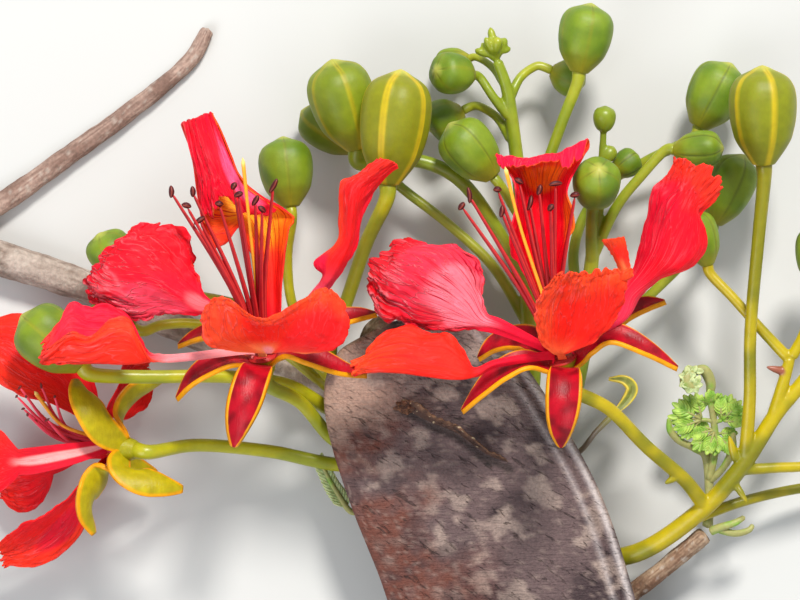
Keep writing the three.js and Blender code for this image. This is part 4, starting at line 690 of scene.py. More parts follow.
# Each raceme: its rachis, the stalks of its blooms and buds, and then its bracts and tiny buds.
RACEMES = {
    "raceme_left": [
        (
            [[16, -46, 12], [8, -43.5, 14.8], [-2, -40, 15.4], [-11, -34, 15.8]],
            [RACHIS_RADIUS, 2.4, 2.2, 2],
        ),
        stalk(
            [[0, -41, 15.4], [-9, -43, 16], [-19, -39.5, 18.5], [-28, -29, 29]],
            bloom_seat("bloom_left"), BLOOM_STALK,
        ),
        stalk(
            [[5, -43, 15], [-15, -47, 14.5], [-37, -43, 18], [-57, -41, 27]],
            bloom_seat("bloom_side"), BLOOM_STALK,
        ),
        stalk(
            [[-8, -36, 15.8], [-20, -31, 17.5], [-32, -24, 26], [-49, -21.5, 35], [-70, -21.5, 40.5]],
            bud_seat("left_bud_1"), BLOOM_STALK,
        ),
        stalk(
            [[-10, -34, 15.8], [-24, -22, 17], [-38, -12, 17.5], [-56, -7, 20], [-67, -7, 22.5]],
            bud_seat("left_bud_3"),
        ),
        stalk([[-10, -34, 15.8], [-24, -18, 20.5], [-42, -3, 21], [-62, 2, 22]], bud_seat("left_bud_2")),
        stalk(
            [[-10.5, -34, 16], [-18.5, -24, 20], [-19.5, -12, 22], [-15, 0, 24], [-9.5, 16, 30]],
            bud_seat("left_bud_4"), BIG_BUD_STALK,
        ),
        stalk(
            [[-10.5, -33.5, 15.6], [-23, -18, 13.5], [-30.5, -2, 13], [-32, 12, 18]],
            bud_seat("left_bud_5"),
        ),
    ],
    "raceme_top": [
        (
            [
                [17, -47, 10], [30, -42, 11], [37.5, -25, 12], [36.5, 0, 14], [34.5, 28, 17],
                [31.5, 53, 19], [30, 61, 20], [27.5, 68, 21],
            ],
            [RACHIS_RADIUS, 2.5, 2.4, 2.3, 2.1, 1.9, 1.7, 1.5],
        ),
        stalk(
            [[36.5, 2, 14], [30, 16, 15.5], [18, 33, 20], [5, 39.5, 20]],
            bud_seat("top_bud_1"), BIG_BUD_STALK,
        ),
        stalk([[37, -8, 13], [27, 9, 11.5], [14, 21.5, 11], [0.5, 32, 10]], bud_seat("top_bud_2")),
        stalk([[31.5, 51, 19], [26.5, 57.5, 20.5]], bud_seat("top_bud_3"), [1.5, 1.3, 1.4]),
        stalk([[30.2, 60, 20], [26.5, 66, 16]], bud_seat("top_bud_4"), [1.3, 1.1, 1.2]),
        stalk(
            [[32.3, 44, 18.2], [28, 51.5, 16], [23, 55, 14]],
            bud_seat("top_bud_5"), [1.5, 1.3, 1.3, 1.4],
        ),
        stalk([[35, 22, 16.5], [31.5, 27.5, 21]], bud_seat("top_bud_6"), [1.6, 1.4, 1.6]),
        stalk(
            [[30.7, 56, 19.4], [34, 63, 17], [38.5, 66.5, 14.5]],
            bud_seat("top_bud_7"), [1.5, 1.3, 1.3, 1.4],
        ),
        stalk(
            [[35.5, 15, 15.7], [39, 30, 20], [45, 48, 24.5]],
            bud_seat("top_bud_8"), [1.7, 1.6, 1.7, 2.1],
        ),
        tiny([27.5, 68, 21], [26.5, 75, 22], 2.4),
        tiny([28, 67.5, 21], [23, 73, 22], 1.6),
        tiny([27.5, 69, 22], [30, 74.5, 22.5], 1.4),
        tiny([27, 70, 22.5], [25.5, 77.5, 22.5], 1.2),
        tiny([26, 69, 22], [21, 71, 22], 1.1),
        tiny([28, 70, 22], [31.5, 71.5, 22], 1),
        tiny([27, 69.5, 23], [27.8, 74.5, 25], 1.5),
        tiny([26.5, 69.5, 23], [24, 74.5, 24.5], 1.1),
    ],
    "raceme_middle": [
        (
            [
                [19, -49, 9], [32, -49, 10.5], [46, -36, 12], [52.5, -13, 17], [54, 8, 22.5],
                [56, 25, 24.5], [57, 38, 25.5], [57.5, 48, 27],
            ],
            [RACHIS_RADIUS, 2.5, 2.4, 2.2, 2.1, 1.7, 1.2, 0.9],
        ),
        stalk([[52.5, -8, 18], [49.5, 14, 13], [57, 31, 12], [70, 39.5, 14]], bud_seat("middle_bud_1")),
        stalk([[54.5, 12, 23], [61, 26, 26.5], [68.5, 35.5, 27.5]], bud_seat("middle_bud_2")),
        stalk([[52.5, -13, 17], [61, -7.5, 15], [76, 6, 15.5]], bud_seat("middle_bud_3")),
        stalk([[54.3, 10, 22.8], [54, 19, 27.5]], bud_seat("middle_bud_4"), [1.8, 1.7, 2]),
        stalk([[56.5, 29, 24.8], [58.3, 33, 24]], bud_seat("middle_bud_5"), [1.1, 1, 1.1]),
        tiny([57.4, 47, 27], [58, 55, 28], 3.3),
        tiny([57, 38.5, 25.8], [60.6, 43.5, 25.2], 2.2),
    ],
    "raceme_right": [
        (
            [
                [18, -50, 8.5], [28, -62, 9], [45, -72, 10], [66, -72.5, 14], [85, -60, 21],
                [97, -46.5, 25], [106, -32.5, 27], [113, -24, 27.5], [123, -10, 27], [128, 4, 26],
            ],
            [2.6, 2.7, 2.7, 2.7, 2.6, 2.4, 2.2, 2, 1.7, 1.4],
        ),
        ([[105, -34, 26.8], [108.5, -22, 29], [110, -16, 29.5]], [1.9, 1.7, 1.6]),
        stalk(
            [[86.5, -58.5, 21.5], [80, -50.5, 29], [69, -41, 37], [58.5, -30.5, 42.5]],
            bloom_seat("bloom_right"), BLOOM_STALK,
        ),
        stalk(
            [[97.5, -45.5, 25], [98.5, -28, 31], [98.5, -8.5, 34.5], [100.5, 17, 37.5]],
            bud_seat("right_bud_1"), [2, 1.8, 1.8, 2, 2.5],
        ),
        stalk([[110, -17, 29.5], [102, -8.5, 30], [94, 0.5, 29.5]], bud_seat("right_bud_2")),
        stalk([[96, -48, 24.7], [106, -47.5, 23], [118, -46.5, 20.5]], bud_seat("right_bud_3")),
        stalk([[80, -63.5, 19], [97, -57.5, 15], [113, -54, 10.5]], bud_seat("right_bud_4")),
        stalk([[110, -17, 29.5], [114, -9, 30.5]], bud_seat("right_bud_5")),
        bract([95, -46, 25.5], [92.8, -38, 28], 1.2),
        bract([94.5, -51.5, 24], [98.3, -57.5, 25.5], 1),
        bract([78.5, -49.5, 30.5], [74.3, -51.8, 32], 1),
        DRY_BRACT,
        tiny([128, 3.5, 26], [129, 11.5, 25.5], 2.8),
        tiny([127, 1, 26.2], [132.5, 6, 26.5], 2.1),
    ],
}
# The light side and the shaded side of each raceme's green.
RACEME_GREENS = {
    "raceme_left": ((176, 170, 22), (146, 150, 26)),
    "raceme_top": ((158, 162, 36), (130, 146, 28)),
    "raceme_middle": ((152, 158, 34), (126, 142, 26)),
    "raceme_right": ((180, 160, 4), (128, 124, 6)),
}
BRACT_BROWN = colour((150, 84, 62))
FORK_GRID = 0.42  # the mesh size in which the forks are melted together
KEPT_FACES = 0.4  # the share of its faces that a melted raceme needs
stalk_skin = finish("stalk_skin", 0.36, (3, 0.9), [(0.35, 0.02), (2.5, 0.1)], gloss=0.5, soft=0.1)


def no_paint(places, turn, share):
    return np.ones((len(places), 3))


for node, runs in RACEMES.items():
    limbs = []
    for run in runs:
        skin = limb_skin(*run, no_paint, blunt=0.8)
        limbs.append(swell(node + "_limb", 20, rings_for(run[0], 1.2), skin))
    raceme = joined(limbs, node + "_skin")
    raceme.data.remesh_voxel_size = FORK_GRID * MM
    bpy.context.view_layer.objects.active = raceme
    bpy.ops.object.voxel_remesh()
    flow = raceme.modifiers.new("flow", "SMOOTH")
    flow.factor = 0.5
    flow.iterations = 6
    bpy.ops.object.modifier_apply(modifier=flow.name)
    fewer = raceme.modifiers.new("fewer", "DECIMATE")
    fewer.ratio = KEPT_FACES
    bpy.ops.object.modifier_apply(modifier=fewer.name)
    places = points_of(raceme.data) / MM - VIEW_CENTRE
    light, shade = RACEME_GREENS[node]
    patches = rough(places, 19, 31) + 0.5 * rough(places, 6, 32)
    tints = mix(colour(shade), colour(light), ease(patches, -0.3, 0.3))
    if DRY_BRACT in runs:
        line = through(DRY_BRACT[0], np.linspace(0.15, 1, 12))
        from_bract = np.linalg.norm(places[:, None] - line, axis=2).min(axis=1)
        tints = mix(tints, BRACT_BROWN, 1 - ease(from_bract, 1.2, 1.7))
    for name in [layer.name for layer in raceme.data.color_attributes]:
        raceme.data.color_attributes.remove(raceme.data.color_attributes[name])
    dress(raceme.data, places, tints)
    stand_for(raceme, node, stalk_skin)


# The cups and sepals
# Each bloom's cup carries five thick, boat-shaped sepals that have folded back: crimson inside,
# yellow-green outside, with an orange-yellow rim.
CUP_RADII = [2.6, 3.5, 4.3]
SEPAL_FOOT = (2.6, 2.2)  # behind the rim and out from the axis
SEPAL_HALF_WIDTH = 5
SEPAL_THICKNESS = 1.3
SEPAL_CRIMSON = colour((178, 4, 30))
SEPAL_DEEP = colour((128, 2, 20))
SEPAL_RIM = colour((238, 158, 6))
SEPAL_GREEN = colour((176, 160, 14))
SEPAL_CURL = 0.7
SIDE_SEPALS = ("left", "right", "back_right", "back_left")  # more curled, and turned to the view
SIDE_CURL = 0.85
SIDE_TURN = (0, 0, 0.3)
SEPAL_RIM_WIDTH = 1  # outside, and far less on the side bloom's sepals
SIDE_RIM_WIDTH = 0.25
SEPAL_GRID = (24, 40)
CUP_GREEN = colour((156, 150, 20))
CUP_RED = colour((190, 40, 40))
# Each sepal's rib, counted from the middle of the rim, and the ways its inner face looks along it.
SEPALS = {
    "bloom_right": {
        "front": (
            [[0.5, -4.5, 10], [0, -11.5, 14], [-0.5, -18.5, 12.5], [-0.5, -24.5, 8]],
            [[0, 0.8, 0.6], [0, 0.1, 1], [0, -0.2, 1]],
        ),
        "left": (
            [[-9, -1.5, 2], [-16, -4.5, 3], [-22, -9.5, 1.5], [-27.5, -15, -2]],
            [[-0.2, 0.9, 0.4], [-0.5, 0.75, 0.4]],
        ),
        "right": (
            [[8, 3, 2], [14, 5.5, 3.5], [23, 2, 3.5], [32, -3, 0]],
            [[0.1, 0.9, 0.4], [0.4, 0.8, 0.45]],
        ),
        "back_right": (
            [[9.5, 5, -9], [16.5, 10.5, -13], [24, 14, -14.5], [29.5, 15.5, -15]],
            [[0.1, 0.9, 0.1], [-0.2, 0.9, 0.4]],
        ),
        "back_left": (
            [[-7, 3.5, -6.5], [-12.5, 4.5, -9], [-18.5, 3, -10], [-23, -0.5, -11]],
            [[-0.3, 0.8, 0.5], [-0.5, 0.8, 0.5]],
        ),
    },
    "bloom_left": {
        "front": (
            [[-1.5, -5, 11], [-4, -12, 15], [-6, -18.5, 14.5], [-7.5, -25.5, 11]],
            [[0, 0.8, 0.6], [0, 0.1, 1], [0, -0.15, 1]],
        ),
        "left": (
            [[-7.5, -2, 3.5], [-13.5, -4, 4.5], [-19, -7.5, 3.5], [-23.5, -12.5, 0]],
            [[-0.2, 0.9, 0.4], [-0.6, 0.7, 0.4]],
        ),
        "right": (
            [[7.5, 0.5, 3.5], [13.5, -1.5, 5], [21.5, -4.5, 3.5], [29, -6, 0]],
            [[0.1, 0.9, 0.4], [0.2, 0.9, 0.45]],
        ),
        "back_right": (
            [[10.5, 3.5, -9], [19, 8, -12.5], [26, 10, -14], [32, 11, -14]],
            [[0.1, 0.9, 0.1], [-0.1, 0.9, 0.4]],
        ),
        "back_left": (
            [[-8, 3, -9], [-13.5, 5, -14], [-19, 4, -17.5], [-24, 2, -19.5]],
            [[-0.3, 0.9, 0.1], [-0.3, 0.9, 0.3]],
        ),
    },
    "bloom_side": {
        "up_left": (
            [[-3, 5, 8], [-6.5, 11, 9.5], [-9.5, 15.5, 7.5], [-11.5, 19, 3]],
            [[-0.8, 0.3, -0.5], [-0.4, -0.2, -1]],
        ),
        "up_right": (
            [[1, 8, -2], [4, 13.5, -3.5], [9, 17.5, -4], [15, 21, -6]],
            [[-0.8, 0.5, -0.1], [-0.6, 0.6, -0.7]],
        ),
        "low_right": (
            [[1.5, -5, 6], [6.5, -8, 8.5], [12.5, -9.8, 7.5], [18.5, -11.5, 4]],
            [[-0.7, -0.4, -0.3], [-0.2, -0.4, -1]],
        ),
        "low": (
            [[-3.5, -7, 1], [-7, -12.5, 4], [-8, -18, 4], [-6.5, -24, 1]],
            [[-0.8, -0.5, 0.2], [-0.8, -0.1, -0.7]],
        ),
        "behind": (
            [[0.5, -2, -8], [1.5, -4.5, -14], [5, -6.5, -18.5], [10, -8, -22]],
            [[-0.9, -0.1, -0.4], [-0.8, 0, -0.6]],
        ),
    },
}
sepal_skin = finish("sepal_skin", 0.4, (2, 0.85), [(0.5, 0.08), ((0.5, 3, 3), 0.12)], gloss=0.25, soft=0.1)


def blade(rib, facing, width, outline, fold=(0, 0), curl=(0, 0)):
    """Lays a blade along a rib. width, fold and curl are for its left and its right half."""

    def lay(u, v):
        centre, side, up = faced_frames(floats(rib), facing, v)
        right = u > 0
        share = np.abs(u)
        hand = np.where(right, 1.0, -1.0)
        start = ease(np.minimum(1, v * 2.5), 0, 1)
        tilt = np.where(right, fold[1], fold[0]) * start
        bend = np.where(right, curl[1], curl[0]) * start
        reach = outline(v) * np.where(right, width[1], width[0])
        angle = tilt + bend * share / 2
        out = side * (hand * share * reach * np.cos(angle))[:, None]
        return centre + out + up * (share * reach * np.sin(angle))[:, None]

    return lay


def sepal_outline(v):
    return 0.1 + 0.9 * np.maximum(0, np.sin(math.pi * (0.13 + 0.855 * np.clip(v, 0, 1)))) ** 0.85


def paint_sepal(half_width, rim_width):
    def paint(u, v, places, side):
        from_edge = (1 - np.abs(u)) * half_width * sepal_outline(v)
        inner = mix(SEPAL_CRIMSON, SEPAL_DEEP, ease(rough(places, 3.5, 41), -0.2, 0.5))
        inner = mix(SEPAL_RIM, inner, ease(from_edge + 0.15 * rough(places, 2, 42), 0.05, 0.3))
        outer = mix(SEPAL_RIM, SEPAL_GREEN, ease(from_edge, rim_width, rim_width + 1))
        mottle = ease(rough(places, 2.6, 43), -0.3, 0.4)
        outer = outer * mix(0.9, 1.04, mottle)[:, None]
        return np.where((side > 0)[:, None], inner, outer)

    return paint


for name, bloom in BLOOMS.items():
    axis = unit(floats(bloom["axis"]))
    sepals = []
    for side, (rib, facing) in SEPALS[name].items():
        curl, turn = (SIDE_CURL, SIDE_TURN) if side in SIDE_SEPALS else (SEPAL_CURL, (0, 0, 0))
        rib = floats(rib)
        out = unit(rib[0] - rib[0].dot(axis) * axis)
        root = along_axis(bloom, -SEPAL_FOOT[0]) + out * SEPAL_FOOT[1]
        rib = [root] + list(floats(bloom["rim"]) + rib)
        half_widths = (SEPAL_HALF_WIDTH,) * 2
        lay = blade(rib, floats(facing) + turn, half_widths, sepal_outline, curl=(curl, curl))
        rim_width = SIDE_RIM_WIDTH if name == "bloom_side" else SEPAL_RIM_WIDTH
        paint = paint_sepal(SEPAL_HALF_WIDTH, rim_width)
        sepals.append(sheet(name + "_sepal", *SEPAL_GRID, lay, SEPAL_THICKNESS, paint))
    ends = [along_axis(bloom, -CUP_LENGTH * share) for share in (1, 0.5, 0)]

    def cup_paint(places, turn, share):
        return mix(CUP_GREEN, CUP_RED, ease(share, 0.82, 0.95))

    cup = swell(name + "_cup", 40, 24, limb_skin(ends, CUP_RADII, cup_paint, blunt=0.3))
    stand_for(joined([cup] + sepals, name + "_sepals"), name + "_calyx", sepal_skin)


# The petals
# Thin, soft and crumpled. Each stands on a narrow claw and opens into a broad blade with creases and
# fine veins that fan out from the claw, and a waved and nicked margin.
CLAW_RING = 2.9
CLAW_HALF_WIDTH = 1.2
CLAW_RISE = (0.9, 2.8, 0.9)  # the foot and the bend ahead of the rim, and how far the bend stands out
PETAL_THICKNESS = 0.5
PETAL_PEAK = 1.2  # how far out a side petal is widest, and how bluntly it ends
PETAL_END = 0.9
FRONT_GRID = (84, 116)  # a petal's mesh, across and along
SIDE_GRID = (60, 84)
MARGIN_WAVES = 1.7  # how far a fully frilled margin waves, in mm
# How far round its bloom's axis each petal stands, in degrees from the side that looks up.
PETAL_SEATS = {
    "bloom_right": {"standard": 160, "upper_left": 232, "lower_left": 300, "front": 0, "right": 82},
    "bloom_left": {"standard": 145, "upper_left": 220, "lower_left": 291, "front": 4, "right": 73},
    "bloom_side": {"upper": 76, "middle": 0, "lower": 288, "back_up": 144, "back": 216},
}
# The front petals' rows of places, each row from the left edge to the right edge, from the claw on.
PETAL_ROWS = {
    ("bloom_right", "standard"): [
        [[-4.5, 11, -3], [-4.5, 11, -4.5], [-3.5, 11, -5], [-3, 11, -4.5], [-2.5, 11, -3]],
        [[-8.5, 19, -1], [-6.5, 19, -7], [-4.5, 19, -9], [-3, 18.5, -7], [-1.5, 18, -1]],
        [[-12, 26.5, 0], [-9, 27, -9], [-5.5, 27, -12], [-2, 27, -9], [0.5, 26.5, 0]],
        [[-14.5, 31, 0.5], [-10.5, 32, -9], [-5.5, 33, -12.5], [-1.5, 32, -9], [2.5, 32.5, 0]],
        [[-13.5, 37.5, 0], [-10, 38, -10], [-5.5, 38, -13], [-1, 38, -10], [4, 37.5, -2]],
        [[-12.5, 44, 0], [-9.5, 44, -10], [-5.5, 44, -13], [-1, 44, -10], [2.5, 43, -1]],
        [[-14, 49, -0.5], [-10.5, 49.5, -10], [-5.5, 49.5, -13], [-1, 49.5, -10], [3, 49.5, -1]],
        [[-18, 54, -3], [-12, 53.5, -6], [-5.5, 53.5, -8.5], [1.5, 55, -6], [8, 58, -4]],
        [[-19, 56.5, -0.5], [-12.5, 55.5, -1.5], [-5.5, 56, -3.5], [1.5, 58, -2], [7.5, 61, -1]],
        [[-17.5, 53.5, 3], [-13.5, 51.5, 4], [-6.5, 54, 2], [1, 52.5, 4], [6, 56, 3]],
    ],
    ("bloom_right", "upper_left"): [
        [[-18, 6.5, 3], [-17.5, 7.5, 3.5], [-16.5, 8, 4], [-16, 9, 3.5], [-15.5, 10, 3]],
        [[-24.5, 7.5, 3], [-23.5, 9, 4], [-23, 10, 4.5], [-21.5, 11.5, 4], [-21, 12.5, 2]],
        [[-29.5, 7, 3], [-29, 10, 5], [-27.5, 14, 6], [-24.5, 18, 5], [-21.5, 16.5, 1]],
        [[-34, 6.5, 4], [-34, 11, 6], [-32.5, 17.5, 7], [-28, 23, 6], [-21, 22, 0]],
        [[-40, 7.5, 3], [-40, 12.5, 6], [-37.5, 20, 8], [-31.5, 26.5, 6], [-21.5, 26.5, 0]],
        [[-45, 9, 1], [-44.5, 14.5, 4], [-41.5, 22.5, 6], [-35.5, 29.5, 4], [-27, 31.5, 0]],
        [[-49, 9, -1], [-48.5, 16, 2], [-46, 24.5, 4], [-41, 30.5, 2], [-34, 31, -2]],
        [[-52, 16, -3], [-52, 20, 0], [-49.5, 26, 2], [-45, 31.5, 1], [-39.5, 32.5, -2]],
        [[-52.5, 21.5, -4], [-54.5, 24.5, -1], [-53.5, 27.5, 0], [-48.5, 30, -1], [-41, 33.5, -3]],
    ],
    ("bloom_right", "lower_left"): [
        [[-18, -2.5, 6], [-18, -2, 7], [-18, -1.5, 7.5], [-18, -1, 7], [-18, -0.5, 6]],
        [[-23.5, -4.5, 5], [-23.5, -5, 6.5], [-23.5, -4.5, 8], [-24, -3.5, 8], [-24.5, -2.5, 7]],
        [[-26.5, -1, 3.5], [-26.5, -4.5, 6.5], [-27, -5.5, 10], [-27.5, -1.5, 9.5], [-28, 3, 7]],
        [[-31, 1.5, 3], [-31, -3.5, 7], [-31.5, -5.5, 11], [-32.5, 2, 10], [-32.5, 8, 7]],
        [[-38, 2, 2], [-38, -3, 7], [-38.5, -4.5, 12], [-38.5, 2.5, 11], [-37, 7.5, 6]],
        [[-45, 2, 2], [-45, -2.5, 7], [-45, -3.5, 12], [-45, 3.5, 10], [-44.5, 10.5, 5]],
        [[-51, 1.5, 2], [-51.5, -2.5, 6], [-52, -3.5, 10], [-51.5, 2, 9], [-50.5, 6.5, 5]],
        [[-55.5, -0.5, 3], [-56, -3, 5], [-56.5, -4, 8], [-55.5, -1, 8], [-54, 1.5, 5]],
        [[-59, -2.5, 4], [-59, -3.5, 5], [-59, -5, 7], [-59, -3, 7], [-58, -0.5, 5]],
    ],
    ("bloom_right", "front"): [
        [[-3, 1.5, 7], [-1.5, 1.5, 6.5], [0, 1.5, 6], [1.5, 1.5, 6.5], [3, 2, 7]],
        [[-7, 5, 12], [-3.5, 4.5, 10], [1, 4, 8], [6, 4, 10], [10, 5.5, 12]],
        [[-8.5, 10.5, 17], [-3.5, 9.5, 14], [2.5, 9, 12], [9, 9, 15], [15, 11, 17]],
        [[-8.5, 15, 20], [-3, 15, 18], [4, 14.5, 16], [11, 14.5, 19], [17.5, 16.5, 20]],
        [[-5.5, 19.5, 23], [-1, 20, 22], [5, 20, 20], [11.5, 20.5, 23], [18.5, 20.5, 22]],
        [[-2.5, 23.5, 24], [1, 24, 25], [6, 25, 23], [11.5, 25, 25], [20, 24.5, 23]],
    ],
    ("bloom_right", "right"): [
        [[14, 12, 2], [14.5, 11.5, 3], [15.5, 10.5, 3.5], [16.5, 10, 3], [17, 10, 2]],
        [[16.5, 19, 2], [17.5, 18, 4], [19, 17.5, 4.5], [20.5, 17, 4], [22, 17, 2]],
        [[19.5, 25, 2], [22, 24, 5], [24.5, 22.5, 6], [26.5, 22, 5], [28.5, 22.5, 2]],
        [[21.5, 32, 3], [25, 29.5, 7], [28.5, 27, 9], [32.5, 25, 8], [35, 24.5, 4]],
        [[23, 39.5, 4], [27, 36, 8], [31, 32.5, 10], [36.5, 30, 9], [40, 30, 5]],
        [[25, 47, 6], [29, 42.5, 10], [33.5, 38.5, 11], [37.5, 36.5, 10], [39.5, 35.5, 7]],
        [[28, 50, 8], [32, 46.5, 11], [35, 43, 12], [37, 41, 11], [38, 39, 8]],
        [[30, 53, 10], [34, 50, 12], [37, 47, 13], [39.5, 44, 12], [41, 42, 10]],
        [[30, 56.5, 11], [35.5, 54.5, 14], [41, 53, 16], [44, 49, 14.5], [43.5, 45.5, 12]],
    ],
    ("bloom_left", "standard"): [
        [[1, 10.5, 0], [2, 10.5, -1.5], [3, 10.5, -2], [4, 10.5, -1.5], [5, 10.5, 0]],
        [[0, 19, 2], [1.5, 19, -2], [3, 19, -3], [4, 19, -2], [5.5, 19, 1]],
        [[-1.5, 25.5, 3], [0.5, 26, -2], [2.5, 26.5, -3.5], [4.5, 26.5, -2], [6.5, 26.5, 2]],
        [[-4.5, 31, 3], [-1.5, 33, -2], [1, 34, -4], [4.5, 35, -2], [8, 34.5, 2]],
        [[-6.5, 35, 3], [-4.5, 38.5, -2], [-2, 40, -5], [3, 40.5, -3], [9.5, 38, 2]],
        [[-11, 30, 3], [-10, 39, -2], [-8, 44, -5], [-4, 46.5, -3], [0.5, 43, 1]],
        [[-15.5, 31.5, 3], [-15.5, 41.5, -2], [-14, 48.5, -5], [-10.5, 52.5, -4], [-5.5, 49, 0]],
        [[-19, 52.5, 2], [-17.5, 54.5, -3], [-15.5, 57, -5], [-13, 58, -4], [-9, 57, 0]],
        [[-22, 63.5, 2], [-20, 65, 0], [-18, 66, -1], [-15.5, 67, 0], [-13.5, 67, 1.5]],
        [[-20.5, 58.5, 6], [-18, 57.5, 6.5], [-15.5, 56.5, 6.5], [-12, 57, 6], [-9.5, 57, 5]],
        [[-18, 49.5, 5], [-15.5, 49, 7], [-12.5, 50, 8], [-9, 48.5, 7.5], [-5, 47, 6]],
        [[-17, 41.5, 5], [-14.5, 43, 7.5], [-11.5, 46.5, 8.6], [-6, 43.5, 8], [2, 42, 6]],
        [[-16, 35.5, 5], [-13.5, 37.5, 7], [-10, 43.5, 9], [-3.5, 38.5, 8], [9, 38, 6]],
    ],
    ("bloom_left", "upper_left"): [
        [[-14, 10.5, 3], [-13.5, 11, 4], [-13, 12, 4.5], [-13, 13, 4], [-12.5, 13.5, 3]],
        [[-18, 10.5, 3], [-18, 12, 5], [-18, 14, 6], [-17, 15.5, 5], [-16, 17, 3]],
        [[-24, 10.5, 4], [-25, 13.5, 6], [-24.5, 17, 8], [-22.5, 21, 6], [-16.5, 23, 2]],
        [[-28.5, 9.5, 5], [-31, 14, 7], [-31, 20, 9], [-27.5, 25.5, 7], [-16.5, 29, 1]],
        [[-33, 8, 5], [-37, 13.5, 7], [-37.5, 21, 9], [-32.5, 29, 8], [-19, 35, 1]],
        [[-37.5, 10.5, 3], [-42.5, 15, 6], [-42.5, 22, 8], [-37, 30.5, 7], [-24, 37.5, 1]],
        [[-44, 13.5, 2], [-47, 17, 4], [-45.5, 24, 6], [-39.5, 31, 5], [-29, 38.5, 0]],
        [[-49.5, 15, 1], [-50, 19, 2], [-47, 24.5, 3], [-41.5, 30.5, 3], [-35.5, 36.5, -1]],
    ],
    ("bloom_left", "lower_left"): [
        [[-22.5, -2, 10.5], [-22.5, -1.5, 11], [-22.5, -1, 11], [-22.5, -0.5, 10.5], [-22.5, 0, 10]],
        [[-28, -2, 12.5], [-28, -1.8, 12], [-28, -1.5, 11.3], [-28, -1, 10.6], [-28, 0, 10]],
        [[-31, -0.5, 14.5], [-31, -1.6, 13.5], [-31, -2, 12], [-31, -1, 10.5], [-31, 0.5, 9.5]],
        [[-33.5, 4.5, 16.5], [-33.5, 0.5, 16.5], [-33.5, -2.5, 14], [-33, 0.5, 10.5], [-33, 4, 9.5]],
        [[-36, 10.5, 16], [-36, 4, 18], [-36, -2.5, 15], [-37, 5.5, 10], [-37, 11.5, 8]],
        [[-41, 11, 17], [-41, 4, 18], [-41, -2.5, 15], [-42, 6, 10], [-42.5, 14.5, 8]],
        [[-47, 5.5, 17], [-47, 2, 18], [-47, -2.5, 15], [-48, 6.5, 11], [-48, 14, 9]],
        [[-52, 6.5, 17], [-52.5, 2.5, 17], [-53, -2.5, 15.5], [-53, 7.5, 13], [-52.5, 15, 10]],
        [[-57, 3, 17], [-57, 0, 16.5], [-57.5, -2.5, 15], [-57.5, 2.5, 13.5], [-56, 9.5, 11]],
        [[-61, -0.5, 16.5], [-61, -2, 16], [-61.5, -3, 14.5], [-61.5, 0, 13.5], [-60.5, 4, 12]],
    ],
    ("bloom_left", "front"): [
        [[-1.5, 0.5, 9], [0.5, 0.5, 8.5], [2, 0.5, 8], [3.5, 0.5, 8.5], [5.5, 1, 9]],
        [[-9.5, 1, 14], [-4.5, 2.5, 14], [2, 3, 11], [8.5, 2, 14], [16.5, 0.5, 15]],
        [[-15.5, 3, 18], [-7.5, 5, 19], [2, 5, 14], [12.5, 5, 19], [23, 2.5, 19]],
        [[-17, 8, 21], [-8.5, 9.5, 23], [2, 7.5, 17], [14.5, 10, 23], [25.5, 8, 22]],
        [[-15.5, 12.5, 23], [-9.5, 13.5, 25], [2, 8.5, 19], [15.5, 14.5, 25], [24, 14, 24]],
        [[-12.5, 15.5, 24], [-8.5, 16, 26], [0.5, 10, 21], [16, 18, 26], [20.5, 17.5, 25]],
    ],
    ("bloom_left", "right"): [
        [[13, 16, 2], [14, 16, 3], [15, 16, 3.5], [15.5, 16, 3], [17, 16, 2]],
        [[17, 21.5, 3], [17.5, 21.5, 5], [19, 21, 6], [20, 21, 5], [21, 21, 3]],
        [[14.5, 25.5, 4], [18, 25.5, 6], [21, 25.5, 8], [22.5, 25.5, 7], [24, 25.5, 4]],
        [[21, 31.5, 4], [22.5, 31, 7], [24, 31, 9], [25, 30.5, 7], [26.5, 30.5, 4]],
        [[21.5, 38.5, 4], [23.5, 38.5, 8], [25, 38.5, 10.5], [26.5, 38.5, 8], [28, 38, 5]],
        [[22, 47, 5], [24, 46.5, 9], [26.5, 46, 12], [28.5, 44.5, 10], [31, 44, 6]],
        [[27, 50, 8], [28.5, 50, 11], [30.5, 49.5, 13], [32.5, 49, 11], [35, 49.5, 8]],
        [[32, 54, 9], [34, 54.5, 12], [36, 53.5, 13], [37.5, 53, 11], [38.5, 52, 9]],
    ],
}
# A narrow lobe beside the front petal, and how far it is frilled and creased.
LOBES = {
    ("bloom_right", "front"): [
        [[15.5, 22, 21], [17, 22, 22], [19, 22.5, 21]],
        [[14.5, 26, 20], [16, 26, 22], [18, 26, 20]],
        [[12.5, 29.5, 20], [14.5, 29.5, 22], [17.5, 29.5, 20]],
        [[10, 32.5, 21], [13.5, 33, 23], [16.5, 33.5, 21]],
    ],
}
LOBE_FRILL = 0.3
LOBE_CREASE = 0.3
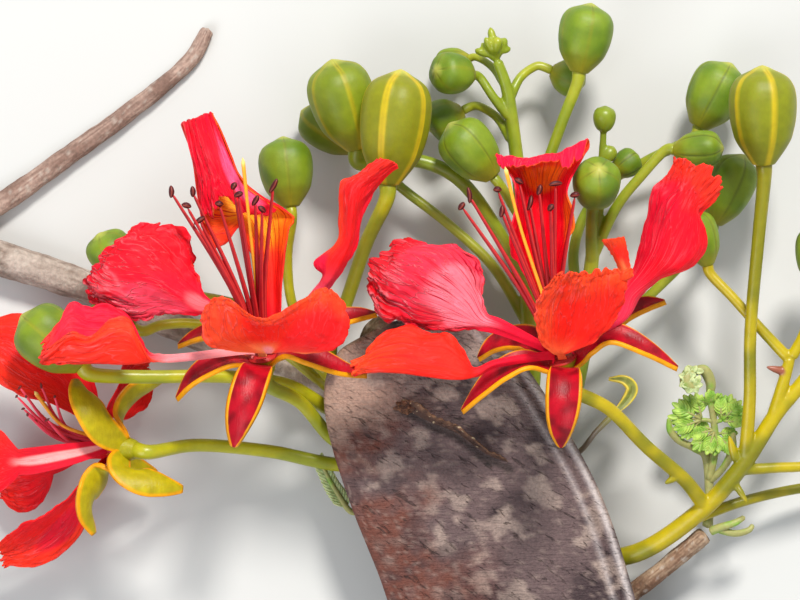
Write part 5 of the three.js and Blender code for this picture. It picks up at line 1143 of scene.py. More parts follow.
# The side bloom's petals: rib, the ways that they face along it, half widths to the left and right,
# how far each half is folded up, how much of the length is claw, and the half width at its upper end.
PETAL_RIBS = {
    "upper": (
        [[-7.5, 9, -2.5], [-15, 17.5, -5.5], [-23, 23.5, -6.5], [-31, 28.5, -8], [-38, 31, -12]],
        [[0.3, 0.6, 0.7], [0.2, -0.2, 1]],
        (11.5, 12.5), (0.2, 0.1), 0.3, 1.2,
    ),
    "middle": (
        [[-13, -1.5, 5.5], [-25, -3.5, 6], [-33, -3.5, 4.5], [-41, -2.5, 1.5], [-48, -1, -3.5]],
        [[0.2, 0, 1], [-0.1, 0, 1]],
        (13, 12), (0.2, 0.25), 0.5, 4,
    ),
    "lower": (
        [[-9, -9, 0.5], [-13, -15, -8], [-19, -21.5, -14], [-27, -27.5, -17], [-35, -31, -19]],
        [[0.4, -0.6, 0.4], [0.4, -0.2, 1]],
        (9, 9), (0.4, 0.4), 0.34, 1.2,
    ),
    "back_up": (
        [[-3.5, 9, -7], [0, 13, -13.5], [2, 17, -19], [4.5, 20, -23.5], [8, 22, -27]],
        [[0.9, -0.2, 0.3], [0.8, 0.3, 0.4]],
        (9, 9), (0.3, 0.3), 0.34, 1.2,
    ),
    "back": (
        [[-10, -2.5, -9], [-17, -6, -16], [-24, -8.5, -22], [-30, -10, -26.5], [-36, -11, -29]],
        [[0.5, 0, 0.8], [0.4, 0, 1]],
        (10, 10), (0.2, 0.2), 0.55, 1.2,
    ),
}
# Each petal's look: its colours (claw, blade, left margin, right margin, tip, lower side), patches
# (a few of them painted highlights), how strongly its margin waves, how high its creases stand, and its
# veins (colour, strength, from where to where along it).
RIDGE_HIGHLIGHT_PINK = colour((255, 140, 150))
RED_VEINS = (196, 6, 24)
PETAL_LOOKS = {
    ("bloom_right", "standard"): (
        [(244, 20, 50), (240, 6, 32), (240, 8, 38), (244, 10, 38), (255, 100, 20), (248, 13, 60)],
        [(0, 0.74, 0.55, 0.08, (255, 124, 22), 0.95), (1, 0.55, 0.3, 0.12, (255, 110, 20), 0.95)],
        0.5, 0.4, ((160, 4, 20), 0.6, 0.2, 0.7),
    ),
    ("bloom_right", "upper_left"): (
        [(232, 24, 56), (244, 52, 76), (232, 20, 46), (246, 58, 84), (240, 36, 50), (244, 43, 40)],
        [
            (0.1, 0.42, 0.9, 0.2, (250, 124, 140), 0.85), (0.5, 0.88, 0.5, 0.07, (214, 8, 30), 0.8),
            (-0.6, 0.56, 0.3, 0.09, (210, 5, 26), 0.7), (-0.8, 0.85, 0.3, 0.16, (232, 8, 30), 0.9),
        ],
        1.2, 0.95, ((176, 4, 36), 1, 0.2, 0.55),
    ),
    ("bloom_right", "lower_left"): (
        [(230, 20, 50), (251, 50, 28), (253, 80, 34), (250, 46, 28), (253, 76, 32), (246, 30, 36)],
        [(0.2, 0.5, 0.6, 0.2, (250, 27, 22), 0.6)],
        0.9, 0.45, ((236, 17, 20), 0.5, 0.25, 0.9),
    ),
    ("bloom_right", "front"): (
        [(252, 111, 63), (250, 32, 20), (252, 59, 26), (252, 44, 26), (252, 70, 30), (250, 70, 30)],
        [(0.6, 0.35, 0.4, 0.2, (250, 23, 26), 0.7), (-0.8, 0.7, 0.4, 0.3, (254, 80, 42), 0.7)],
        0.8, 0.3, ((238, 20, 18), 0.35, 0.25, 0.95),
    ),
    ("bloom_right", "right"): (
        [(240, 50, 84), (244, 16, 39), (226, 12, 42), (248, 17, 33), (250, 48, 30), (250, 59, 33)],
        [(-0.6, 0.6, 0.4, 0.25, (228, 13, 45), 0.8), (0.2, 0.97, 0.9, 0.1, (252, 52, 33), 0.9)],
        0.4, 0.55, ((252, 130, 140), 0.3, 0.2, 0.4),
    ),
    ("bloom_left", "standard"): (
        [(230, 22, 46), (255, 116, 20), (246, 57, 26), (254, 104, 20), (252, 170, 60), (236, 6, 40)],
        [
            (0, 0.42, 0.8, 0.12, (255, 166, 36), 0.95), (0.2, 0.24, 0.9, 0.08, (240, 39, 45), 0.7),
            # The last, pink patch along the flap's right margin is a painted highlight.
            (-0.5, 0.69, 0.35, 0.03, (252, 150, 110), 0.9), (0.7, 0.86, 0.3, 0.1, (246, 96, 146), 0.7),
        ],
        0.5, 0.5, (RED_VEINS, 1, 0.24, 0.62),
    ),
    ("bloom_left", "upper_left"): (
        [(240, 30, 63), (236, 17, 46), (228, 15, 45), (244, 20, 39), (236, 17, 42), (244, 43, 40)],
        [
            (-0.5, 0.55, 0.5, 0.2, (246, 84, 110), 0.6), (0.5, 0.75, 0.5, 0.3, (244, 22, 40), 0.7),
            (-0.4, 0.9, 0.4, 0.08, (212, 7, 33), 0.7), (0.1, 0.3, 0.6, 0.1, (250, 130, 136), 0.6),
        ],
        1.2, 1, ((200, 6, 30), 0.5, 0.15, 0.35),
    ),
    ("bloom_left", "lower_left"): (
        [(244, 146, 150), (232, 18, 52), (250, 52, 26), (228, 18, 52), (246, 57, 52), (252, 46, 28)],
        [(0.6, 0.75, 0.5, 0.2, (236, 30, 68), 0.5), (-0.9, 0.6, 0.3, 0.4, (254, 66, 33), 0.6)],
        0.6, 0.6, ((236, 17, 20), 0.3, 0.25, 0.9),
    ),
    ("bloom_left", "front"): (
        [(252, 160, 96), (250, 37, 24), (252, 66, 33), (250, 35, 30), (254, 73, 34), (250, 70, 30)],
        [
            (-0.7, 0.7, 0.4, 0.4, (254, 75, 39), 0.7), (0.6, 0.5, 0.4, 0.3, (248, 26, 33), 0.8),
            (0, 0.25, 0.3, 0.14, (250, 150, 160), 0.8),
        ],
        0.6, 0.2, ((240, 20, 22), 0.3, 0.2, 0.95),
    ),
    ("bloom_left", "right"): (
        [(240, 80, 110), (248, 30, 33), (252, 59, 30), (244, 20, 45), (250, 44, 33), (250, 59, 33)],
        [(-0.8, 0.4, 0.4, 0.1, (232, 20, 63), 0.9), (0.6, 0.9, 0.5, 0.12, (246, 22, 33), 0.7)],
        0.3, 0.4, ((240, 18, 27), 0.3, 0.2, 0.8),
    ),
    ("bloom_side", "upper"): (
        [(210, 10, 30), (246, 30, 26), (250, 48, 27), (236, 15, 33), (250, 52, 30), (244, 39, 33)],
        [], 0.5, 0.25, (RED_VEINS, 0.15, 0.3, 0.8),
    ),
    ("bloom_side", "middle"): (
        [(214, 20, 45), (244, 25, 28), (236, 15, 30), (250, 44, 26), (250, 44, 30), (244, 39, 33)],
        # Its pale pink band along the claw is a painted highlight.
        [(0, 0.34, 0.45, 0.24, (252, 180, 176), 0.75)], 0.5, 0.3, (RED_VEINS, 0.2, 0.3, 0.8),
    ),
    ("bloom_side", "lower"): (
        [(204, 7, 26), (248, 32, 34), (250, 52, 26), (236, 15, 30), (250, 52, 30), (244, 39, 33)],
        [(-0.4, 0.65, 0.4, 0.16, (214, 10, 45), 0.8)], 0.5, 0.3, (RED_VEINS, 0.15, 0.3, 0.8),
    ),
    ("bloom_side", "back_up"): (
        [(204, 7, 26), (236, 18, 30), (236, 15, 30), (246, 30, 26), (250, 44, 30), (240, 30, 33)],
        [], 0.6, 0.35, (RED_VEINS, 0.2, 0.3, 0.8),
    ),
    ("bloom_side", "back"): (
        [(204, 7, 26), (230, 15, 28), (226, 12, 28), (240, 25, 26), (246, 39, 30), (236, 25, 33)],
        [], 0.6, 0.35, (RED_VEINS, 0.2, 0.3, 0.8),
    ),
}


def around_axis(bloom, degrees):
    """The direction out from a bloom's axis at an angle round it: 0 is the side that looks up."""
    axis = unit(floats(bloom["axis"]))
    front = unit(np.array([0, 0, 1.0]) - axis[2] * axis)
    across = np.cross(axis, front)
    turn = math.radians(degrees)
    return front * math.cos(turn) + across * math.sin(turn)


def row_lay(rows):
    """Lays a sheet through rows of places, each from its left edge to its right edge."""
    rows = floats(rows)

    def lay(u, v):
        columns = extended(np.moveaxis(through(rows, v), 1, 0))
        low, part = steps_at(rows.shape[1], (u + 1) / 2)
        each = np.arange(len(u))
        return spline(*(columns[low + k, each] for k in range(4)), part[:, None])

    return lay


def petal_outline(claw, widest, throat):
    def outline(v):
        s = np.clip((v - claw) / (1 - claw), 0, 1)
        round_part = np.sin(math.pi * np.minimum(PETAL_END, s**PETAL_PEAK)) ** 0.62
        stem = mix(CLAW_HALF_WIDTH, throat, ease(v / claw, 0, 1)) / widest
        narrow = stem + (CLAW_HALF_WIDTH / widest - stem) * s
        return np.where(s > 0, np.maximum(round_part, narrow), narrow)

    return outline


def ridged(points, size, seed):
    """Noise with sharp ridges: 1 along them and falling to about 0 between them."""
    return 1 - np.clip(3 * np.abs(rough(points, size, seed)), 0, 1)


def fan_places(u, v, seed):
    """Places on a petal's blade in a fan that spreads from its claw, about 5 mm to the unit."""
    return np.stack([u * 4, v * 10, u * 0 + 3.7 * seed], 1)


def creases(u, v, seed):
    """How high a crumpled petal stands at its ridges, from about -1 to 1: long folds that fan out
    from the claw, and short crinkles in its outer part, most of them on its left."""
    fan = fan_places(u, v, seed)
    bent = fan + 1.4 * np.stack([rough(fan, 2.4, 1), rough(fan, 2.4, 2), u * 0], 1)
    folds = ridged(bent * (0.8, 0.34, 1), 1.4, 3) - 0.4
    crinkles = ridged(bent * (2, 0.6, 1), 0.8, 4) - 0.4
    outer = ease(v, 0.4, 0.8) * mix(0.35, 1, ease(0.5 * rough(fan, 3, 12) - u, -0.3, 0.5))
    return 0.9 * folds * mix(0.6, 1, outer) + 0.75 * crinkles * outer


def crumpled(lay, claw, frill, crease, seed):
    """A petal's smooth sheet with creases, and a margin that is waved and nicked as far as its frill
    says."""
    near = 2e-3

    def laid(u, v):
        v = np.clip(v, 0, 1)
        open_part = ease(v, claw, claw + 0.2)
        fan = fan_places(u, v, seed)
        notch = np.clip(0.7 - 2.6 * np.abs(rough(fan, 1.3, 6)), 0, 1)
        nicks = frill * (0.08 * notch + 0.05 * np.abs(rough(fan, 0.4, 7)))
        sway = frill * (0.1 * notch + 0.06 * np.abs(rough(fan, 0.5, 9)) + 0.05)
        height = open_part * mix(0.4, 1.15, ease(v, 0.4, 0.85)) * crease * creases(u, v, seed)
        u = u * (1 - open_part * np.abs(u) ** 3 * sway)
        v = v * (1 - open_part * ease(v, 0.8, 1) * nicks)
        place = lay(u, v)
        across = lay(u + near, v) - lay(u - near, v)
        normal = unit(np.cross(across, lay(u, v + near) - lay(u, v - near)))
        margin = np.clip(np.maximum((np.abs(u) - 0.4) / 0.6, (v - 0.72) / 0.28), 0, 1) ** 1.5
        waves = rough(fan, 0.9, 10) + 0.6 * rough(fan, 0.4, 11)
        waves = margin * open_part * MARGIN_WAVES * frill * waves
        return place + normal * (waves + height)[:, None]

    return laid


def petal_paint(colours, patches, claw, crease, seed):
    """Colours that run from the claw into the blade, its margins and its tip, with a painted highlight along
    the ridges and painted shade between them, and patches: (across, along, half width, half length, colour,
    how far)."""
    foot, blade_red, left, right, tip, lower = (colour(rgb) for rgb in colours)

    def paint(u, v, places, side):
        wander = 0.35 * rough(places, 9, seed)
        tints = mix(blade_red, left, ease(-u + wander, 0.15, 0.95))
        tints = mix(tints, right, ease(u + wander, 0.15, 0.95))
        tints = mix(tints, tip, ease(v + 0.3 * wander, 0.72, 0.97))
        tints = mix(foot, tints, ease(v, claw * 0.8, claw + 0.25))
        under = mix(foot, lower, ease(v, claw * 0.8, claw + 0.2))
        tints = np.where((side > 0)[:, None], tints, under)
        for at_u, at_v, wide, long, rgb, strength in patches:
            reach = np.exp(-(((u - at_u) / wide) ** 2 + ((v - at_v) / long) ** 2))
            tints = mix(tints, colour(rgb), strength * ease(reach + 0.3 * wander, 0.25, 0.6))
        # A painted highlight along the ridges and painted shade in the valleys between them.
        high = creases(u, v, seed) * ease(v, claw, claw + 0.25) * side
        tints = mix(tints, RIDGE_HIGHLIGHT_PINK, 0.5 * crease**2 * ease(high, 0.35, 1))
        return tints * (1 - 0.5 * crease**2 * ease(-high, 0.05, 0.6))[:, None]

    return paint


def petal_veins(rgb, strength, start, end):
    """The veins' colour, and how strongly they show between two shares of the petal's length."""

    def veins(u, v, places, side):
        shown = strength * ease(v, start - 0.12, start) * (1 - ease(v, end, end + 0.3))
        return np.concatenate([np.tile(colour(rgb), (len(u), 1)), shown[:, None]], 1)

    return veins


# How close veins and crinkles lie, across a petal and along it, and how high they stand, in mm.
VEIN_SCALES = (46, 2.2, 1)
VEIN_DEPTH = 0.12
CRINKLE_SCALES = (17, 5, 1)
CRINKLE_DEPTH = 0.8
VALLEY_SHADE_RED = colour((214, 90, 110))


def petal_finish(name, crinkled):
    """Petal skin with veins that run from the claw into the blade, in the colour and strength that
    each petal carries, and fine sharp crinkles in its outer part, as deep as crinkled says, with a painted
    highlight on their ridges and painted shade in their valleys."""
    material = finish(name, 0.55, (3.2, 0.92), [(0.6, 0.08), (2, 0.12)], gloss=0.12, soft=0.2)
    spread = step(material, "UVMap", uv_map="UVMap").outputs["UV"]

    def maths(operation, first, second=0.0):
        return step(material, "Math", {0: first, 1: second}, operation=operation).outputs["Value"]

    veins = noise_over(material, spread, VEIN_SCALES, 3)
    vein = step(material, "Attribute", attribute_name="vein")
    shown = maths("MULTIPLY", ranged(material, veins, 0.53, 0.63, 0, 1), vein.outputs["Alpha"])
    tinted(material, shown, vein.outputs["Color"])
    raised(material, veins, VEIN_DEPTH)
    place = step(material, "SeparateXYZ", {"Vector": spread})
    outer = ranged(material, place.outputs["Y"], 0.35, 0.7, 0, crinkled)
    outer = maths("MULTIPLY", outer, ranged(material, place.outputs["X"], 0.3, 0.95, 1, 0.3))
    crinkles = noise_over(material, spread, CRINKLE_SCALES, 2, wander=0.8)
    from_ridge = maths("ABSOLUTE", maths("SUBTRACT", crinkles, 0.5))
    ridge = maths("MULTIPLY", ranged(material, from_ridge, 0, 0.05, 1, 0), outer)
    valley = maths("MULTIPLY", ranged(material, from_ridge, 0.06, 0.2, 0, 1), outer)
    # Painted shade in the crinkles' valleys and a painted highlight on their ridges.
    tinted(material, maths("MULTIPLY", valley, 0.5), (*VALLEY_SHADE_RED, 1), "MULTIPLY")
    tinted(material, maths("MULTIPLY", ridge, 0.55), (*RIDGE_HIGHLIGHT_PINK, 1))
    raised(material, ridge, CRINKLE_DEPTH)
    return material


FANS = {("bloom_left", "upper_left"), ("bloom_right", "upper_left")}
petal_skin = petal_finish("petal_skin", 0.3)
fan_skin = petal_finish("fan_skin", 1)

for index, (name, bloom) in enumerate(BLOOMS.items()):
    rim = floats(bloom["rim"])
    for number, (side, seat) in enumerate(PETAL_SEATS[name].items()):
        out = around_axis(bloom, seat)
        foot = along_axis(bloom, CLAW_RISE[0]) + out * CLAW_RING
        bend = along_axis(bloom, CLAW_RISE[1]) + out * (CLAW_RING + CLAW_RISE[2])
        if (name, side) in PETAL_ROWS:
            blade_rows = [[rim + p for p in row] for row in floats(PETAL_ROWS[name, side])]
            across = unit(blade_rows[0][-1] - blade_rows[0][0]) * CLAW_HALF_WIDTH
            shares = np.linspace(-1, 1, len(blade_rows[0]))
            rows = [[p + across * share for share in shares] for p in (foot, bend)] + blade_rows
            lay, claw, grid = row_lay(rows), 2 / (len(rows) - 1), FRONT_GRID
        else:
            rib, facing, half_widths, folds, claw, throat = PETAL_RIBS[side]
            rib = [foot, bend] + list(rim + floats(rib))
            outline = petal_outline(claw, max(half_widths), throat)
            lay, grid = blade(rib, facing, half_widths, outline, fold=folds), SIDE_GRID
        seed = 10 * number + 60 * index
        colours, patches, frill, crease, vein_look = PETAL_LOOKS[name, side]
        laid = crumpled(lay, claw, frill, crease, seed)
        looks = (petal_paint(colours, patches, claw, crease, seed), petal_veins(*vein_look))
        petal = sheet("%s_petal_%s_blade" % (name, side), *grid, laid, PETAL_THICKNESS, *looks)
        if (name, side) in LOBES:
            lobe_lay = row_lay(rim + floats(LOBES[name, side]))
            curl = crumpled(lobe_lay, 0, LOBE_FRILL, LOBE_CREASE, seed + 5)
            lobe = sheet("lobe", 16, 24, curl, PETAL_THICKNESS, *looks)
            petal = joined([petal, lobe], petal.name)
        skin = fan_skin if (name, side) in FANS else petal_skin
        stand_for(petal, "%s_petal_%s" % (name, side), skin)


# The stamens and styles
# Ten crimson threads with dark maroon anthers, most of them lying across their threads, and one
# orange-yellow style. They stand on a small knob in the cup.
KNOB_RADII = [1.5, 1.7, 1.4]
KNOB_AHEAD = (0.3, 2.6)
KNOB_SPREAD = 1.3
STAMEN_FOOT = 1.9
THREAD_RISE = 0.42  # the share of its length at which a thread bends out
SIDE_RISE = 0.62
SIDE_THREADS = 0.75  # the girth of the side bloom's threads, as a share
THREAD_RADII = [0.55, 0.85, 0.78, 0.68, 0.54, 0.38]
STYLE_RADII = [0.8, 0.6, 0.5, 0.45, 0.6]
ANTHER_LENGTH = 3.6
ANTHER_RADIUS = 0.8
THREAD_RED = (156, 4, 20)
THREAD_FOOT = colour((226, 60, 70))
THREAD_HIGHLIGHT = colour((226, 66, 60))
ANTHER_DARK = colour((72, 8, 16))
ANTHER_LIGHT = colour((150, 62, 44))
STYLE_FOOT = colour((236, 96, 50))
STYLE_YELLOW = colour((248, 166, 44))
STYLE_KNOB = colour((250, 214, 120))
# The places along each style, and the ends of each bloom's ten threads.
STYLES = {
    "bloom_right": [[-5, 16, 5], [-11.5, 35.5, 7.5], [-16, 53, 9]],
    "bloom_left": [[-1, 15, 6], [-3, 34.5, 10], [-5, 54.5, 13]],
    "bloom_side": [[-8, 3.5, 0], [-16, 7, 2.5], [-23, 16, 3]],
}
ANTHERS = {
    "bloom_right": [
        [-28, 42, 6], [-26, 45, 8.5], [-18, 46.5, 6], [-17, 40.5, 10], [-12, 49, 3], [-6.5, 46.5, 6],
        [-2, 48, 9.5], [-3.5, 41.5, 13], [3.5, 45, 5], [-9, 43, 1],
    ],
    "bloom_left": [
        [-25, 45, 9], [-20.5, 41, 13], [-19, 45, 10], [-17, 37, 10], [-7.5, 46.5, 14], [-6, 44, 17],
        [3.5, 46.5, 14.5], [-11.5, 41.5, 12.5], [-1.5, 42.5, 13], [0.5, 40, 16.5],
    ],
    "bloom_side": [
        [-27, 17, 4], [-25, 14.5, 7.5], [-28, 14.5, 2.5], [-21, 17.5, 5], [-20.5, 13, 2.5],
        [-24.5, 9.5, 9.5], [-26, 11, 4.5], [-22.5, 7.5, 3], [-19, 8, 8], [-17, 14.5, 8],
    ],
}
# How far each anther leans from across its thread into line with it, and its size.
ANTHER_LIES = [
    (0.3, 0.8), (2.2, 1.3), (-0.4, 0.7), (1.6, 1), (-0.9, 0.8), (2.4, 0.9), (0.1, 1.1), (1.2, 0.7),
]
SIDE_ANTHERS = 0.45  # the side bloom's anthers are smaller, and its threads are pink
THREAD_PINK = (232, 70, 96)
thread_skin = finish("thread_skin", 0.45, (2, 0.85), [(0.3, 0.03)], gloss=0.3, soft=0.08)


def style_paint(places, turn, share):
    tints = mix(STYLE_FOOT, STYLE_YELLOW, ease(share, 0.1, 0.35))
    return mix(tints, STYLE_KNOB, ease(share, 0.95, 0.98))


def anther_paint(places, turn, share):
    split = np.exp(-(((np.abs(turn) - 1.57) / 0.22) ** 2))
    return mix(ANTHER_DARK, ANTHER_LIGHT, 0.8 * split)


for index, (name, bloom) in enumerate(BLOOMS.items()):
    rim = floats(bloom["rim"])
    axis = unit(floats(bloom["axis"]))
    tips = floats(ANTHERS[name])
    asides = tips - np.outer(tips @ axis, axis)
    centred = asides - asides.mean(0)
    widest = np.linalg.norm(centred, axis=1).max()
    small = SIDE_ANTHERS if name == "bloom_side" else 1
    red = THREAD_PINK if name == "bloom_side" else THREAD_RED
    ahead = SIDE_RISE if name == "bloom_side" else THREAD_RISE
    girth = SIDE_THREADS if name == "bloom_side" else 1

    def thread_paint(places, turn, share):
        tints = mix(THREAD_FOOT, colour(red), ease(share, 0.02, 0.3))
        # A painted highlight along the upper side of each thread.
        return mix(tints, THREAD_HIGHLIGHT, 0.7 * np.exp(-(((turn - 0.9) / 0.35) ** 2)))

    threads = []
    for k, tip in enumerate(tips):
        stand = centred[k] * KNOB_SPREAD / widest
        foot = along_axis(bloom, STAMEN_FOOT) + stand
        rise = along_axis(bloom, ahead * np.linalg.norm(rim + tip - foot)) + stand + 0.25 * asides[k]
        points = [foot, rise, rim + tip]
        radii = [girth * radius for radius in THREAD_RADII]
        skin = limb_skin(points, radii, thread_paint, blunt=0.4)
        threads.append(swell("thread", 10, 30, skin))
        # An anther lies across its thread, or hangs on nearly in line with it, a little bent.
        heading = unit(rim + tip - rise)
        inline, size = ANTHER_LIES[(k + 3 * index) % len(ANTHER_LIES)]
        crosswise = unit(np.cross(heading, [0.3 * math.cos(2.1 * k), 0.3 * math.sin(2.1 * k), 1]))
        half = unit(crosswise + heading * inline) * size * small * ANTHER_LENGTH / 2
        ends = [rim + tip - half, rim + tip + 0.12 * half[[1, 0, 2]], rim + tip + half]
        girths = [ANTHER_RADIUS * size**-0.3 * small * share for share in (0.55, 1, 0.55)]
        skin = limb_skin(ends, girths, anther_paint, blunt=0.9)
        threads.append(swell("anther", 16, 14, skin))
    style = [along_axis(bloom, STAMEN_FOOT)] + list(rim + floats(STYLES[name]))
    threads.append(swell("style", 12, 40, limb_skin(style, STYLE_RADII, style_paint, blunt=0.4)))
    knob = [along_axis(bloom, ahead) for ahead in KNOB_AHEAD]
    threads.append(swell("knob", 20, 12, limb_skin(knob, KNOB_RADII, thread_paint, blunt=0.8)))
    stand_for(joined(threads, name + "_threads"), name + "_stamens", thread_skin)


# The young leaves
# A soft pale shoot that is just unfolding: fans of small folded leaflets on pale stems, with coiled
# tips, two small buds beside it, and a narrow feathered leaf at the foot of the left raceme.
SHOOT_STEMS = [
    (
        [
            [87.5, -65, 15.5], [88.2, -56, 12], [87.5, -45, 12], [84, -42.3, 13], [79.5, -40, 15],
            [76.8, -37, 17], [76.4, -33.5, 18],
        ],
        [1.6, 1.3, 1.4, 1.1, 1.1, 1, 0.6],
    ),
    (
        [
            [88, -52, 12], [89.8, -42, 14], [89.2, -34, 16], [88.1, -27.5, 18], [88.2, -23.6, 19],
            [86.3, -20, 20], [83, -20.3, 21],
        ],
        [1.2, 1.1, 1, 1.1, 1.5, 1.6, 1.1],
    ),
    ([[88, -52, 12], [92, -48, 13], [94.5, -43, 15], [94.8, -37.5, 17]], [1.1, 1, 1.2, 0.7]),
    ([[89.2, -34.6, 16], [87.5, -34.2, 16.2], [85.4, -34, 16.5]], [0.7, 0.6, 0.6]),
    ([[89.2, -35, 15.8], [90.5, -34.5, 16.2], [91.8, -34.1, 16.6]], [0.7, 0.6, 0.6]),
]
# Each fan's foot, the way it opens and faces, the number of its small leaves and their length.
SHOOT_FANS = [
    ([85.8, -34, 16.5], [-1, 0.3, 0.25], [0.1, -0.1, 1], 6, 9),
    ([91.5, -34.3, 16.5], [0.5, 0.8, 0.2], [-0.1, -0.2, 1], 6, 7.5),
    ([89.6, -37, 15.5], [-0.7, -0.6, 0.2], [0, 0.2, 1], 5, 7.5),
    ([89.8, -38, 15], [0.6, -0.6, 0.1], [0.1, 0.2, 1], 3, 7),
    ([88.6, -30, 17], [-0.1, 0.5, 0.5], [0.2, -0.6, 0.9], 3, 5),
]
NUB_STEMS = [
    ([[88, -65.8, 18.4], [91, -64.5, 20], [95, -63.2, 20], [98, -61.5, 19]], [1.3, 1.2, 1, 0.7]),
    ([[90, -65, 19.5], [95, -66.3, 18.5], [99, -65.5, 17], [100.5, -63.8, 16.5]], [1.1, 1, 0.9, 0.6]),
]
YOUNG_LEAF = (
    [[2, -38.5, 8], [-3, -46, 9], [-9, -56, 10], [-13.5, -60.5, 12], [-18.5, -54, 14], [-22.8, -46, 15.5]],
    [1, 0.9, 0.9, 0.9, 0.8, 0.5],
)
FAN_SPREAD = 1.25
LEAFLET_THICKNESS = 0.35
# The half widths of the fans' leaflets, of the coil's and of the feathered leaf's, and the lengths of
# the last two.
FAN_LEAFLET_WIDTH = 0.8
COIL_LEAFLET_WIDTH = 0.9
COIL_LEAFLET_LENGTH = 2.6
FEATHER_WIDTH = 0.75
FEATHER_LENGTH = 4.6
LEAF_PALE = colour((178, 206, 92))
LEAF_GREEN = colour((126, 170, 54))
LEAF_RIB = colour((198, 212, 132))
LEAF_STEM = colour((160, 158, 96))
DOWN_PALE = colour((194, 204, 146))
DOWN_SHADE = colour((146, 164, 98))
leaf_skin = finish("leaf_skin", 0.5, (1.2, 0.85), [(0.4, 0.05)], gloss=0.4, soft=0.15)


def stem_paint(places, turn, share):
    return mix(LEAF_STEM, LEAF_GREEN, ease(rough(places, 3, 51), 0, 0.6))


def leaf_paint(u, v, places, side):
    tints = mix(LEAF_GREEN, LEAF_PALE, ease(rough(places, 2.2, 52) + 0.4 * v, -0.2, 0.6))
    return mix(tints, LEAF_RIB, np.exp(-((u / 0.12) ** 2)) * 0.6)


def downy_paint(u, v, places, side):
    return mix(DOWN_SHADE, DOWN_PALE, ease(rough(places, 1, 53) + v, 0, 0.8))


def leaflet(foot, way, face, length, width, paint=leaf_paint):
    """A small leaflet folded up along its midrib."""
    way = unit(floats(way))
    side = unit(np.cross(way, floats(face)))
    up = np.cross(side, way)

    def lay(u, v):
        half = width * np.maximum(0.06, np.sin(math.pi * np.clip(0.06 + 0.9 * v, 0, 1)) ** 0.8)
        rise = np.abs(u) * half * 0.45 - 0.12 * length * v**2
        out = way * (v * length)[:, None] + side * (u * half)[:, None]
        return floats(foot) + out + up * rise[:, None]

    return sheet("leaflet", 4, 8, lay, LEAFLET_THICKNESS, paint)


def stem(points, radii):
    return swell("stem", 14, rings_for(points, 0.6), limb_skin(points, radii, stem_paint, blunt=0.6))


shoot = [stem(*run) for run in SHOOT_STEMS]
# Each fan carries small leaves, and each of those has a stem with folded leaflets in pairs.
FAN_LEAF_PAIRS = 4
FAN_STEM_RADII = [0.45, 0.35, 0.25]
for foot, heading, face, count, length in SHOOT_FANS:
    foot, heading, face = floats(foot), floats(heading), unit(floats(face))
    heading = unit(heading - heading.dot(face) * face)
    side = np.cross(heading, face)
    for k in range(count):
        turn = FAN_SPREAD * (2 * (k + 0.5) / count - 1)
        way = heading * math.cos(turn) + side * math.sin(turn)
        reach = length * (1 - 0.28 * abs(turn) / FAN_SPREAD)
        lift = face * (0.6 if k % 2 else -0.3)
        points = [list(foot), list(foot + way * reach * 0.5 + lift), list(foot + way * reach * 0.85)]
        shoot.append(stem(points, FAN_STEM_RADII))
        across = np.cross(way, face)
        for j in range(2 * FAN_LEAF_PAIRS + 1):
            t = 0.3 + 0.62 * (j // 2) / FAN_LEAF_PAIRS
            spur = way + across * (0.7 if j % 2 else -0.7)
            if j == 2 * FAN_LEAF_PAIRS:
                spur = way
            at = through(points, np.array([t]))[0]
            long = 0.55 * reach * (1.1 - 0.5 * t)
            shoot.append(leaflet(at, spur, face + 0.5 * way, long, FAN_LEAFLET_WIDTH))
# The shoot's soft tip is coiled up and fuzzy.
COIL = [(83.5, -20.2, 21), (81.6, -21.4, 21.6), (81.4, -23.4, 22), (82.9, -24.4, 22.2), (84, -23.2, 22)]
COIL_RADII = [1.5, 2, 2.1, 1.8, 1.5]
COIL_LEAFLETS = 26
shoot.append(stem(COIL, COIL_RADII))
for j in range(COIL_LEAFLETS):
    at = through(COIL, np.array([j / COIL_LEAFLETS]))[0] + (0, 0, 1.2)
    spur = np.array([math.cos(2.4 * j), math.sin(2.4 * j), 0.1])
    size = (COIL_LEAFLET_LENGTH, COIL_LEAFLET_WIDTH)
    shoot.append(leaflet(at, spur, (0, 0, 1), *size, downy_paint))
stand_for(joined(shoot, "leaf_shoot_leaflets"), "leaf_shoot", leaf_skin)
stand_for(joined([stem(*run) for run in NUB_STEMS], "leaf_buds_skin"), "leaf_buds", leaf_skin)

PAIRS = 13
feathers = [stem(*YOUNG_LEAF)]
tail = floats(YOUNG_LEAF[0][3:])
face = unit(np.array([0.2, 0.1, 1]))
for k in range(2 * PAIRS):
    t = 0.15 + 0.82 * (k // 2) / (PAIRS - 1)
    heading = unit(through(tail, np.array([t + 0.01])) - through(tail, np.array([t - 0.01])))[0]
    side = np.cross(heading, face) * (1 if k % 2 else -1)
    way = heading * 0.8 + side * 0.6
    place = through(tail, np.array([t]))[0]
    long = FEATHER_LENGTH * (1 - 0.35 * t)
    feathers.append(leaflet(place, way, face, long, FEATHER_WIDTH, downy_paint))
stand_for(joined(feathers, "young_leaf_leaflets"), "young_leaf", leaf_skin)


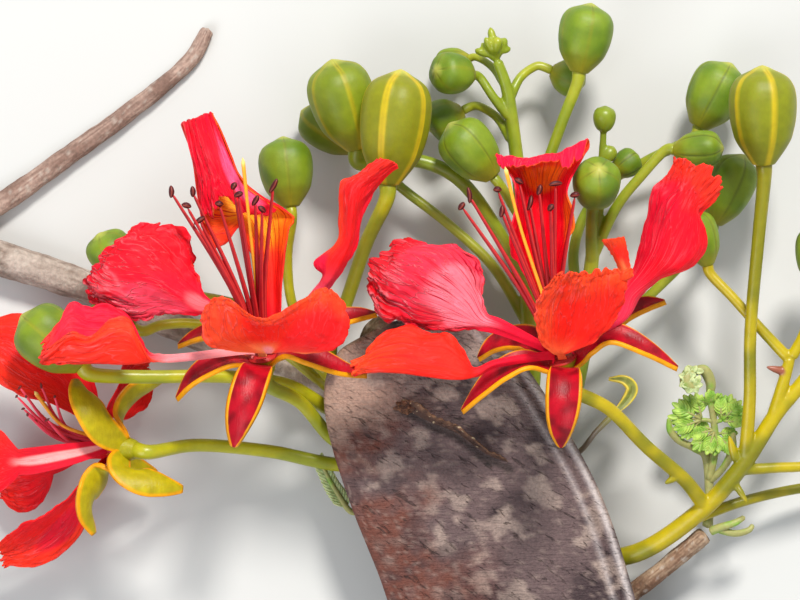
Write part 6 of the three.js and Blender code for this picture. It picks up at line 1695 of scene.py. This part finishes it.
# The young fruit
# A thin curved olive boat with a yellow edge, on a brownish stem that leaves the middle raceme.
YOUNG_FRUIT_STEM = (
    [[44.5, -38.2, 12.6], [50, -43.5, 16.5], [56, -37, 20], [61, -31.8, 22.5]],
    [0.9, 0.8, 0.8, 1],
)
YOUNG_FRUIT_RIB = [
    [60.3, -32.5, 22], [64, -28.5, 24], [65.5, -25, 25], [63.3, -22.6, 25.3], [59, -22.3, 25],
]
YOUNG_FRUIT_FACING = [[0.2, 0.1, 1]]
YOUNG_FRUIT_HALF_WIDTH = 1.8
YOUNG_FRUIT_FOLD = 0.4
YOUNG_FRUIT_THICKNESS = 1.0
FRUIT_STEM_BROWN = colour((122, 106, 88))
FRUIT_STEM_GREEN = colour((150, 146, 70))
FRUIT_OLIVE = colour((138, 144, 62))
FRUIT_SHADE = colour((120, 124, 52))
FRUIT_EDGE = colour((226, 200, 60))


def fruit_stem_paint(places, turn, share):
    return mix(FRUIT_STEM_BROWN, FRUIT_STEM_GREEN, ease(share, 0.6, 1))


def fruit_outline(v):
    return np.sin(math.pi * (0.08 + 0.86 * np.clip(v, 0, 1)))


def fruit_paint(u, v, places, side):
    body = mix(FRUIT_OLIVE, FRUIT_SHADE, ease(rough(places, 1.2, 61), -0.3, 0.3))
    return mix(body, FRUIT_EDGE, ease(np.abs(u), 0.6, 0.95))


fruit_stem = swell("fruit_stem", 14, 60, limb_skin(*YOUNG_FRUIT_STEM, fruit_stem_paint, blunt=0.6))
half_widths, folds = (YOUNG_FRUIT_HALF_WIDTH,) * 2, (YOUNG_FRUIT_FOLD,) * 2
boat = blade(YOUNG_FRUIT_RIB, YOUNG_FRUIT_FACING, half_widths, fruit_outline, fold=folds)
fruit = sheet("fruit", 12, 40, boat, YOUNG_FRUIT_THICKNESS, fruit_paint)
stand_for(joined([fruit_stem, fruit], "young_fruit_skin"), "young_fruit", stalk_skin)


# The floor and the light
# A plain pale floor, a broad lamp high over the far side and a weaker one opposite, under a pale sky.
FLOOR_SIZE = 6  # in metres, like the lamps' places and sizes
FLOOR_TONE = (0.58, 0.58, 0.565, 1)
FLOOR_ROUGHNESS = 0.9
# Each lamp's place, size, power and tone.
KEY_LAMP = ((0.35, 1.35, 1.5), 0.4, 45, (1, 0.97, 0.92))
FILL_LAMP = ((-0.9, -0.7, 1.3), 1.2, 14, (0.94, 0.97, 1))
LAMP_AIM = (0, 0.1, 0)
SKY_TONE = (0.86, 0.9, 0.95, 1)
SKY_STRENGTH = 0.62
floor_finish = bpy.data.materials.new("pale_floor")
floor_finish.use_nodes = True
paper = floor_finish.node_tree.nodes["Principled BSDF"]
paper.inputs["Base Color"].default_value = FLOOR_TONE
paper.inputs["Roughness"].default_value = FLOOR_ROUGHNESS
bpy.ops.mesh.primitive_plane_add(size=FLOOR_SIZE, location=(0, 0, 0))
floor = bpy.context.object
floor.name = "floor"
floor.data.materials.append(floor_finish)


def lamp(name, place, size, power, tone):
    bpy.ops.object.light_add(type="AREA", location=place)
    light = bpy.context.object
    light.name = name
    light.data.shape = "DISK"
    light.data.size = size
    light.data.energy = power
    light.data.color = tone
    aim = Vector(LAMP_AIM) - Vector(place)
    light.rotation_euler = aim.to_track_quat("-Z", "Y").to_euler()


lamp("key", *KEY_LAMP)
lamp("fill", *FILL_LAMP)
world = bpy.data.worlds.new("sky")
world.use_nodes = True
world.node_tree.nodes["Background"].inputs["Color"].default_value = SKY_TONE
world.node_tree.nodes["Background"].inputs["Strength"].default_value = SKY_STRENGTH
bpy.context.scene.world = world
